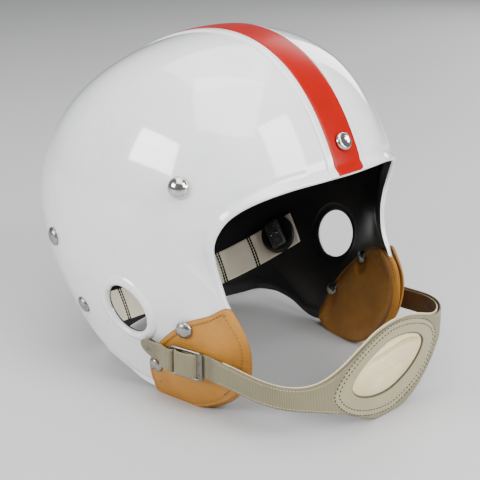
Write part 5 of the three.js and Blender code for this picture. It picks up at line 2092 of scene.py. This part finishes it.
    def loop(self, piece: Piece, side: int) -> None:
        """Lays the band's end that goes round the buckle's bar.

        Args:
            piece: the band.
            side: 1 for the left side and -1 for the right one.
        """
        inside = side * (self.reach - np.array((0.0, 6, 12)))
        start = self.bow_at(inside) - self.bow_normal(inside) * self.canvas / 2
        path = SmoothPath(np.vstack((self.loop_path(side), start)))
        at = np.linspace(0, path.length, 90)
        join = ease(path.length - 26, path.length - 2, at)
        low_band, high_band = self.edges(side * (self.reach - 6))
        low = (self.BUCKLE_AT[2] - self.LOOP_HALF) * (1 - join) + (low_band + 0.05) * join
        high = (self.BUCKLE_AT[2] + self.LOOP_HALF) * (1 - join) + (high_band - 0.05) * join
        self.ribbon(piece, *(part[::-side] for part in (path.at(at), low, high)), self.canvas - 0.1)

    def back(self, finishes: Finishes) -> None:
        """Builds the lining: brown leather inside with a pale cloth edge.

        Args:
            finishes: the materials.
        """
        piece = Piece("chin_back")
        along = np.arange(-self.reach + 4, self.reach - 3, 1.6)
        low, high = self.edges(along)
        away = np.abs(along - self.cup_shift)
        proud = 1.1 * ease(75, 30, away) - 0.6 * ease(70, 100, away)
        path = self.bow_at(along) - self.bow_normal(along) * (self.canvas + self.between + self.lining / 2)
        self.ribbon(piece, path, low + 0.2, high + proud, self.lining, 0, 1, -self.reach)
        made = piece.make([finishes["pale thread"], finishes["brown lining"]])
        finish_piece(made, "strap_leather", ["chin_lining"])

    def insert(self, finishes: Finishes) -> None:
        """Builds the soft insert that bulges through the window, with its long crease.

        Args:
            finishes: the materials.
        """
        piece = Piece("chin_insert")
        turns = spokes(140)
        size = np.concatenate((np.linspace(0.06, 0.8, 22), (0.86, 0.91, 0.95, 0.98, 1.0)))[:, None]
        x, y = (size * part for part in superellipse(turns, self.window.power))
        along, z = self.window.ring(turns, -0.1, size)
        line = 0.66 - np.where(x > 0.1, 0.8, 0.13) * (x - 0.1) ** 2
        reach = ease(-0.75, -0.35, x) * ease(0.98, 0.7, x)
        crease, low_crease = hump(y - line, 0.08) * reach, hump(y + 0.1 + 0.3 * (x + 0.2) ** 2, 0.12)
        height = self.bulge * (1 - size**3.2) - 1.1 - 2.3 * crease + 1.3 * hump(y - line - 0.17, 0.12) * reach
        height -= 0.45 * low_crease * ease(-0.6, -0.2, x) * ease(0.6, 0.2, x)
        height += 0.12 * np.sin(along * 0.5 + z * 0.3) * np.sin(z * 0.45) * (1 - size**4)
        # Painted shade in the crease
        front = piece.lay(self.on_band(along, z, height), edge=0.35 * crease)
        back = 0.3 - self.canvas - self.between
        rear = piece.lay(self.on_band(along[[-1, 10]], z[[-1, 10]], back))
        piece.skin(np.vstack((front, rear)), wrap=True)
        for ring, out in ((front[0], self.bulge - 0.75), (rear[-1], back)):
            piece.cap(ring, self.on_band(self.window.at, self.window.z, out))
        made = piece.make([finishes["cream leather"]])
        finish_piece(made, "cup_cream", ["chin_cup_pad"])
        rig.padded(made, 0.55)

    def seams(self, finishes: Finishes) -> None:
        """Sews the two rows round the cup and the rows along the straps.

        Args:
            finishes: the materials.
        """
        rows = []
        for inset in (0.0, 3.6):
            along, z = self.lens.ring(spokes(400), -inset)
            rows.append((self.on_band(along, z, 0.1), self.bow_normal(along)))
        self.stitches.sew("cup_seams", rows, 2.9, (1.45, 0.85, 0.7), finishes["dark thread"], "strap_canvas")
        rows = []
        for start, end in ((-self.reach + 2, -46), (56, self.reach - 2)):
            along = np.linspace(start, end, 120)
            low, high = self.edges(along)
            rows += [(self.on_band(along, z, 0.02), self.bow_normal(along)) for z in (low + 1.7, high - 1.7)]
        for name, size, thread in (("strap_seams", (1.2, 0.5, 0.35), "pale thread"),
                                   ("strap_seam_shadows", (0.5, 0.65, 0.25), "dark thread")):
            self.stitches.sew(name, rows, 2.1, size, finishes[thread], "strap_canvas")

    def build(self, finishes: Finishes) -> None:
        """Builds the whole strap."""
        for part in (self.band, self.back, self.insert, self.seams):
            part(finishes)


@dataclass
class Buckle:
    """A bent wire buckle with a cross bar and a broad front bar, made by geometry nodes."""

    strap: ChinStrap
    front_bar_step: float = 1.7

    def tree(self) -> tuple[Tree, dict[str, str]]:
        """Builds the node tree: a rounded wire frame and its bars.

        Returns:
            The tree, and the identifiers of its inputs by name.
        """
        tree = bpy.data.node_groups.new("wire buckle", "GeometryNodeTree")
        face = tree.interface
        for name, value in self.strap.BUCKLE.items():
            face.new_socket(name, in_out="INPUT", socket_type="NodeSocketFloat").default_value = value
        face.new_socket("Finish", in_out="INPUT", socket_type="NodeSocketMaterial")
        face.new_socket("Geometry", in_out="OUTPUT", socket_type="NodeSocketGeometry")
        w = Wiring(tree)
        given = w.node("NodeGroupInput").outputs

        def tube(curve: Socket, size: Socket, caps: bool = False) -> Socket:
            """A round wire along a curve."""
            section = w.value("GeometryNodeCurvePrimitiveCircle", Resolution=14, Radius=size)
            return w.value("GeometryNodeCurveToMesh", Curve=curve, Profile_Curve=section, Fill_Caps=caps)

        twice = w.math("MULTIPLY", given["Wire"], 2.0)
        wide, tall = (w.math("SUBTRACT", given[name], twice) for name in ("Long", "Tall"))
        outline = w.value("GeometryNodeCurvePrimitiveQuadrilateral", Width=wide, Height=tall)
        fillet = w.value("GeometryNodeFilletCurve", mode="POLY", Curve=outline, Count=7, Radius=given["Corner"])
        parts = [tube(fillet, given["Wire"])]
        front = w.math("MULTIPLY", wide, 0.5)
        behind = w.math("SUBTRACT", front, self.front_bar_step)
        for place, scale in ((given["Bar Place"], 0.85), (front, 1.25), (behind, 0.8)):
            heights = (w.math("MULTIPLY", tall, share) for share in (-0.5, 0.5))
            low, high = (w.value("ShaderNodeCombineXYZ", X=place, Y=height) for height in heights)
            line = w.value("GeometryNodeCurvePrimitiveLine", Start=low, End=high)
            parts.append(tube(line, w.math("MULTIPLY", given["Wire"], scale), True))
        joined = w.node("GeometryNodeJoinGeometry")
        for part in reversed(parts):
            tree.links.new(part, joined.inputs[0])
        smooth = w.value("GeometryNodeSetShadeSmooth", Geometry=joined.outputs[0])
        real = w.value("GeometryNodeRealizeInstances", Geometry=smooth)
        w.node("NodeGroupOutput", w.value("GeometryNodeSetMaterial", Geometry=real, Material=given["Finish"]))
        return tree, {s.name: s.identifier for s in face.items_tree if s.in_out == "INPUT"}

    def build(self, finishes: Finishes) -> None:
        """Builds both buckles.

        Args:
            finishes: the materials.
        """
        tree, sockets = self.tree()
        for label, side in SIDES.items():
            made = bpy.data.objects.new(f"buckle_{label}", bpy.data.meshes.new(f"buckle_{label}"))
            bpy.context.scene.collection.objects.link(made)
            modifier = made.modifiers.new("buckle", "NODES")
            modifier.node_group = tree
            for name, value in {**self.strap.BUCKLE, "Finish": finishes["worn nickel"]}.items():
                modifier[sockets[name]] = value
            settle(made)
            origin, ahead, _ = self.strap.buckle_frame(side)
            place = Matrix.Translation(Vector((origin - (0, FRAME_Y, 0)) * MM))
            axes = np.stack((ahead, UP, np.cross(ahead, UP)))
            made.data.transform(place @ Matrix(axes.T.tolist()).to_4x4() @ Matrix.Scale(MM, 4))
            finish_piece(made, "nickel", [f"chin_buckle_{label}"])


@dataclass
class Tab:
    """The short tab that snaps to the shell and holds the buckle."""

    strap: ChinStrap
    placer: Placer
    y: float = -8.6
    z: float = 44.2
    end: float = 6.0
    reach: float = 6.0
    width: float = 15.5
    thick: float = 1.8
    seat: float = 3.3

    # Radius and height of a snap's head one across
    SNAP = ((0, -1.6), (0.8, -1.6), (0.85, -0.4), (1.0, -0.2), (1.0, 0.1), (0.9, 0.3), (0.72, 0.34),
            (0.6, 0.22), (0.45, 0.18), (0.3, 0.3), (0, 0.42))

    def path(self, side: int) -> tuple[Array, Array, Array]:
        """Plan of the tab's middle from its free end, with the snap's place and axis.

        Args:
            side: 1 for the left side and -1 for the right one.

        Returns:
            The points, the place and the axis.
        """
        origin, axis = FORM.side_point(self.y, self.z, 0, side)
        middle, forward, out = self.strap.buckle_frame(side)
        rear = self.strap.BUCKLE["Wire"] - self.strap.BUCKLE["Long"] / 2
        radius = self.strap.bend_radius(self.thick)
        seat = origin + axis * (self.seat + self.thick / 2)
        ahead = unit(np.array((axis[1], -axis[0], 0))) * side
        rows = [seat + ahead * along for along in np.linspace(-self.end, self.reach, 6)]
        turn = np.linspace(math.pi * 0.62, -math.pi * 0.72, 9)
        rows += [middle + forward * (rear + radius * math.cos(a)) + out * (radius * math.sin(a)) for a in turn]
        return np.array(rows), origin, axis

    def build(self, finishes: Finishes) -> None:
        """Builds both tabs and their snaps.

        Args:
            finishes: the materials.
        """
        stud = template("snap copy", lathe(self.SNAP, 28))
        for label, side in SIDES.items():
            rows, origin, axis = self.path(side)
            path = SmoothPath(rows)
            at = np.concatenate(((0, 0.3, 0.9, 1.8, 3, 4.6, 6.4), np.linspace(8, path.length, 60)))
            points = path.at(at)
            half = self.width / 2 * rounding(at + 0.25, self.width / 2)
            level = rows[0, 2] + (self.strap.BUCKLE_AT[2] - rows[0, 2]) * np.clip(at / 20, 0, 1)
            lean = (-axis[2] / axis[0] * ease(18, 11, at))[::-side]
            out = plan_normal(np.gradient(points, axis=0)) * -side
            piece = Piece(f"tab_{label}")
            for shift in (0.5, -0.5):
                parts = (part[::-side] for part in (points + out * shift, level - half, level + half))
                self.strap.ribbon(piece, *parts, self.thick / 2, lean=lean)
            finish_piece(piece.make([finishes["strap canvas"]]), "strap_canvas", [f"chin_tab_{label}"])
            places = [origin + axis * (self.seat + self.thick), origin + axis * 1.8]
            made = self.placer.place(f"snap_{label}", stud, places, [basis(axis)] * 2,
                                     [(2.8, 2.8, 1.6), (4.4, 4.4, 1.6)], finishes["worn nickel"])
            finish_piece(made, "nickel", [f"chin_snap_{label}"])


# Nape strap


@dataclass
class NapeStrap:
    """The webbing that bows across the back of the head space, with its discs and keepers."""

    placer: Placer
    stitches: StitchSet
    y: float = 62.0
    z: float = 50.5
    lean: float = math.radians(39)
    sag: float = 47.0
    half: float = 97.0
    power: float = 2.3
    tall: float = 25.0
    thick: float = 1.8
    tail: float = 20.0
    clear: float = 1.8
    disc_radius: float = 15.0
    disc_thick: float = 2.6

    RIVET = (60, 52.7)
    SHARES = np.array((-0.5, -0.494, -0.48, -0.44, -0.3, -0.15, 0, 0.15, 0.3, 0.44, 0.48, 0.494, 0.5))
    SEAMS = (42.5, 72.0, 101.5)
    BLOCK = {"half": np.array((6.0, 10.75)), "corner": 2.0}
    # Inset and height of the block's rows; its two ends are closed
    BLOCK_ROWS = ((None, 0), (0.6, 0), (0.1, -0.25), (0, -0.8), (0, -3.3), (0.35, -4.1), (1.1, -4.5),
                  (None, -4.5))
    DOT = ((0, -0.6), (1, -0.6), (1, 0.2), (0.7, 0.6), (0, 0.75))

    def __post_init__(self) -> None:
        """Sets the ways down and back across the strap's plane."""
        self.down = np.array((0, -math.sin(self.lean), -math.cos(self.lean)))
        self.back = np.array((0, math.cos(self.lean), -math.sin(self.lean)))

    def at(self, across: Array, back: Array, down: Array | float) -> Array:
        """Points in the strap's own frame.

        Args:
            across: places to the left.
            back: places back in the strap's plane.
            down: places down across it.

        Returns:
            A point for each.
        """
        across, back, down = np.broadcast_arrays(*(np.asarray(v, float) for v in (across, back, down)))
        start = np.stack((across, 0 * across + self.y, 0 * across + self.z), -1)
        return start + back[..., None] * self.back + down[..., None] * self.down

    def line(self, down: float) -> Path:
        """One level of the strap, kept inside the shell.

        Args:
            down: how far down it lies.

        Returns:
            Its places across and back.
        """
        across, along = superellipse(np.linspace(0, math.pi, 161), self.power)
        tail = np.linspace(-self.tail, 0, 12, endpoint=False)
        wide = np.full(12, 2 * FORM.HALF_WIDTH)
        across = np.concatenate((wide, self.half * across, -wide))
        back = np.concatenate((tail, self.sag * along, tail[::-1]))
        place = self.at(0, back, down)
        point, normal = FORM.side_point(place[:, 1], place[:, 2])
        room = point[:, 0] - (FORM.WALL + self.clear) / normal[:, 0] - self.thick / 2
        return np.sign(across) * np.minimum(np.abs(across), room), back

    def build(self, finishes: Finishes) -> None:
        """Builds the webbing, its seams, the discs and the keepers.

        Args:
            finishes: the materials.
        """
        halves = self.thick / 2 * rounding(np.abs(np.abs(self.SHARES) - 0.5) * self.tall, 0.5)
        faces, charts, levels = ([], []), [], []
        for share, half in zip(self.SHARES * self.tall, halves):
            across, back = self.line(share)
            plan = np.stack((across, back), -1)
            normal = plan_normal(np.gradient(plan, axis=0))[:, :2]
            for face, sign in zip(faces, (-1, 1)):
                face.append(self.at(*(plan + sign * normal * half).T, share))
            charts.append(np.stack((lengths_of(plan), np.full(len(plan), share)), -1))
            levels.append((lengths_of(plan), across, back, *normal.T))
        piece = Piece("nape_webbing")
        piece.slab(*(np.stack(face, 1) for face in faces), np.stack(charts, 1))
        finish_piece(piece.make([finishes["nape webbing"]]), "strap_canvas", ["nape_strap"])
        self.seams(levels, finishes)
        self.fittings(finishes)

    def seams(self, levels: Sequence[tuple[Array, ...]], finishes: Finishes) -> None:
        """Sews the double dark seams across the webbing, on both of its faces.

        Args:
            levels: for each level of the webbing, the lengths, places and normals along it.
            finishes: the materials.
        """
        whole = levels[0][0][-1]
        down = self.SHARES * self.tall
        down[[0, -1]] += np.array((-0.02, 0.02)) * self.tall
        rows = []
        for place in self.SEAMS:
            for at in (place - 1.0, place + 1.0, whole - place - 1.0, whole - place + 1.0):
                x, b, nx, nb = np.array([[np.interp(at, lengths, part) for part in parts]
                                         for lengths, *parts in levels]).T
                ways = unit(nx[:, None] * np.array((1.0, 0, 0)) + nb[:, None] * self.back)
                for face in (-1, 1):
                    rows.append((self.at(x, b, down) + ways * face * (self.thick / 2 + 0.1), ways * face))
        self.stitches.sew("nape_seams", rows, 2.3, (2.5, 1.5, 0.8), finishes["dark thread"], "strap_canvas")

    def fittings(self, finishes: Finishes) -> None:
        """Builds the round discs and the blocks that cover the rivets' inner heads.

        Args:
            finishes: the materials.
        """
        r, t = self.disc_radius, self.disc_thick
        foot = -FORM.WALL - self.clear - self.thick - 1.6 - t
        disc = template("disc copy", lathe(((0, 0), (r - 3.6, 0), (r - 3.2, -0.25), (r - 2.6, 0), (r - 0.9, 0),
                                            (r - 0.25, 0.3), (r, 0.9), (r, t - 0.5), (r - 0.4, t), (0, t)), 64))
        block = self.block()
        dots = template("dot copy", lathe(self.DOT, 20))
        for label, side in SIDES.items():
            origin, axis = FORM.side_point(*self.RIVET, 0, side)
            across = unit(np.cross(self.down, axis))
            up = unit(np.cross(axis, across))
            seat = origin + axis * (foot - 0.3)
            pair = [seat - axis * 4.5 + across * v for v in (-2.6, 2.6)]
            for name, copy, places, frame, finish, slot, nodes in (
                ("disc", disc, [origin + axis * foot], basis(axis), "black plastic", "black_plastic",
                 [f"nape_disc_{label}"]),
                ("keeper", block, [seat], (across, up, axis), "speckled plastic", "black_plastic",
                 [f"nape_keeper_{label}"]),
                ("keeper_dots", dots, pair, (across, -up, -axis), "bright nickel", "nickel", []),
            ):
                count = len(places)
                made = self.placer.place(f"{name}_{label}", copy, places, [np.stack(frame)] * count,
                                         [(1, 1, 1)] * count, finishes[finish])
                finish_piece(made, slot, nodes)

    def block(self) -> Object:
        """A rounded block about its seat, that stands thick below it.

        Returns:
            The template.
        """
        turn = spokes(48)
        ring = np.stack((np.cos(turn), np.sin(turn)), -1)
        half, corner = self.BLOCK["half"], self.BLOCK["corner"]
        outline = np.clip(ring * 50, corner - half, half - corner) + corner * ring
        rows = []
        for inset, depth in self.BLOCK_ROWS:
            share = 0 if inset is None else 1 - inset / half
            rows.append(np.column_stack((outline * share, np.full(len(turn), float(depth)))))
        return template("keeper copy", np.array(rows))


# Studio


def toward(azimuth: float, elevation: float) -> Vector:
    """The way to a place round the helmet, by its turn from the front and its height in degrees."""
    a, e = math.radians(azimuth), math.radians(elevation)
    return Vector((math.sin(a) * math.cos(e), -math.cos(a) * math.cos(e), math.sin(e)))


@dataclass
class Studio:
    """Floor, soft lights and the camera."""

    azimuth: float = -44.65
    elevation: float = 20.13
    distance: float = 0.8942
    focus: tuple[float, float, float] = (0.0, -0.00784, 0.08788)
    lens: float = 93.6
    aim: tuple[float, float, float] = (0, 0, 0.1)
    sky: Colour = (0.75, 0.77, 0.8, 1)
    sky_strength: float = 0.34

    # Name, turn, height, distance, width and length, power
    LIGHTS = (
        ("left box", -106, 23, 1.3, (0.62, 0.42), 15),
        ("front box", 2, 33, 1.3, (0.6, 0.85), 17),
        ("key", -52, 70, 1.5, (1.2, 1.2), 19),
        ("top", 150, 74, 1.3, (1.1, 1.1), 9),
        ("face fill", 24, 14, 1.4, (0.5, 0.5), 9),
        ("rim", 110, 25, 1.5, (0.5, 1.1), 7),
    )

    @staticmethod
    def floor() -> None:
        """Lays a pale floor."""
        piece = Piece("floor")
        x = np.linspace(-9000, 9000, 3)
        piece.skin(piece.lay(np.stack(np.meshgrid(x, x, (0.0,), indexing="ij"), -1)[:, :, 0]))
        material = bpy.data.materials.new("pale floor")
        material.use_nodes = True
        w = Wiring(material.node_tree)
        shader = material.node_tree.nodes["Principled BSDF"]
        clouds = w.noise(w.node("ShaderNodeTexCoord").outputs["Object"], 7.0, 4.0)
        w.plug(shader, "Base Color", w.blend(clouds, (0.5, 0.5, 0.5, 1), (0.53, 0.53, 0.53, 1)))
        w.plug(shader, "Roughness", w.remap(clouds, 0.0, 1.0, 0.5, 0.62))
        made = piece.make([material])
        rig.stage(made)

    @staticmethod
    def stand(name: str, data: bpy.types.ID, at: Sequence[float], way: Vector, distance: float) -> Object:
        """Stands a light or the camera so that it looks at a place.

        Args:
            name: its name.
            data: the light or the camera.
            at: the place.
            way: the way from the place to it.
            distance: how far off it is.

        Returns:
            The object.
        """
        made = bpy.data.objects.new(name, data)
        made.location = Vector(at) + way * distance
        made.rotation_euler = way.to_track_quat("Z", "Y").to_euler()
        bpy.context.scene.collection.objects.link(made)
        return made

    def build(self) -> None:
        """Builds the studio."""
        self.floor()
        for name, azimuth, elevation, distance, size, power in self.LIGHTS:
            data = bpy.data.lights.new(name, "AREA")
            data.shape, data.size, data.size_y, data.energy = "RECTANGLE", *size, power
            self.stand(name, data, self.aim, toward(azimuth, elevation), distance)
        world = bpy.data.worlds.new("studio")
        world.use_nodes = True
        backdrop = world.node_tree.nodes["Background"].inputs
        backdrop["Color"].default_value, backdrop["Strength"].default_value = self.sky, self.sky_strength
        bpy.context.scene.world = world
        data = bpy.data.cameras.new("camera")
        data.lens, data.sensor_width = self.lens, 36.0
        data.clip_start, data.clip_end = 0.05, 50
        way = toward(self.azimuth, self.elevation)
        bpy.context.scene.camera = self.stand("camera", data, self.focus, way, self.distance)


def write_sizes(cad: tuple[Vector, Vector]) -> None:
    """Writes the CAD model's box and the visual model's box.

    Args:
        cad: the CAD model's box.
    """
    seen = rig.bounds()
    boxes = {"cad": [list(corner) for corner in cad], "visual": [list(corner) for corner in seen]}
    with open(SIZE_FILE, "w") as out:
        json.dump(boxes, out)


def main() -> None:
    """Builds every piece in order."""
    logging.basicConfig(level=logging.INFO, format="%(message)s")
    for old in list(bpy.data.objects):
        bpy.data.objects.remove(old)
    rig.load()
    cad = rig.bounds()
    Studio().build()
    finishes = make_finishes()
    placer = Placer()
    stitches = StitchSet(placer)
    strap = ChinStrap(stitches)
    for work in (ShellWork(), RivetSet(placer), JawLeather(stitches), strap, Buckle(strap), Tab(strap, placer),
                 NapeStrap(placer, stitches)):
        work.build(finishes)
    for extra in [o for o in bpy.data.objects if o.name.endswith(" copy")]:
        bpy.data.objects.remove(extra)
    write_sizes(cad)


if __name__ == "__main__":
    main()
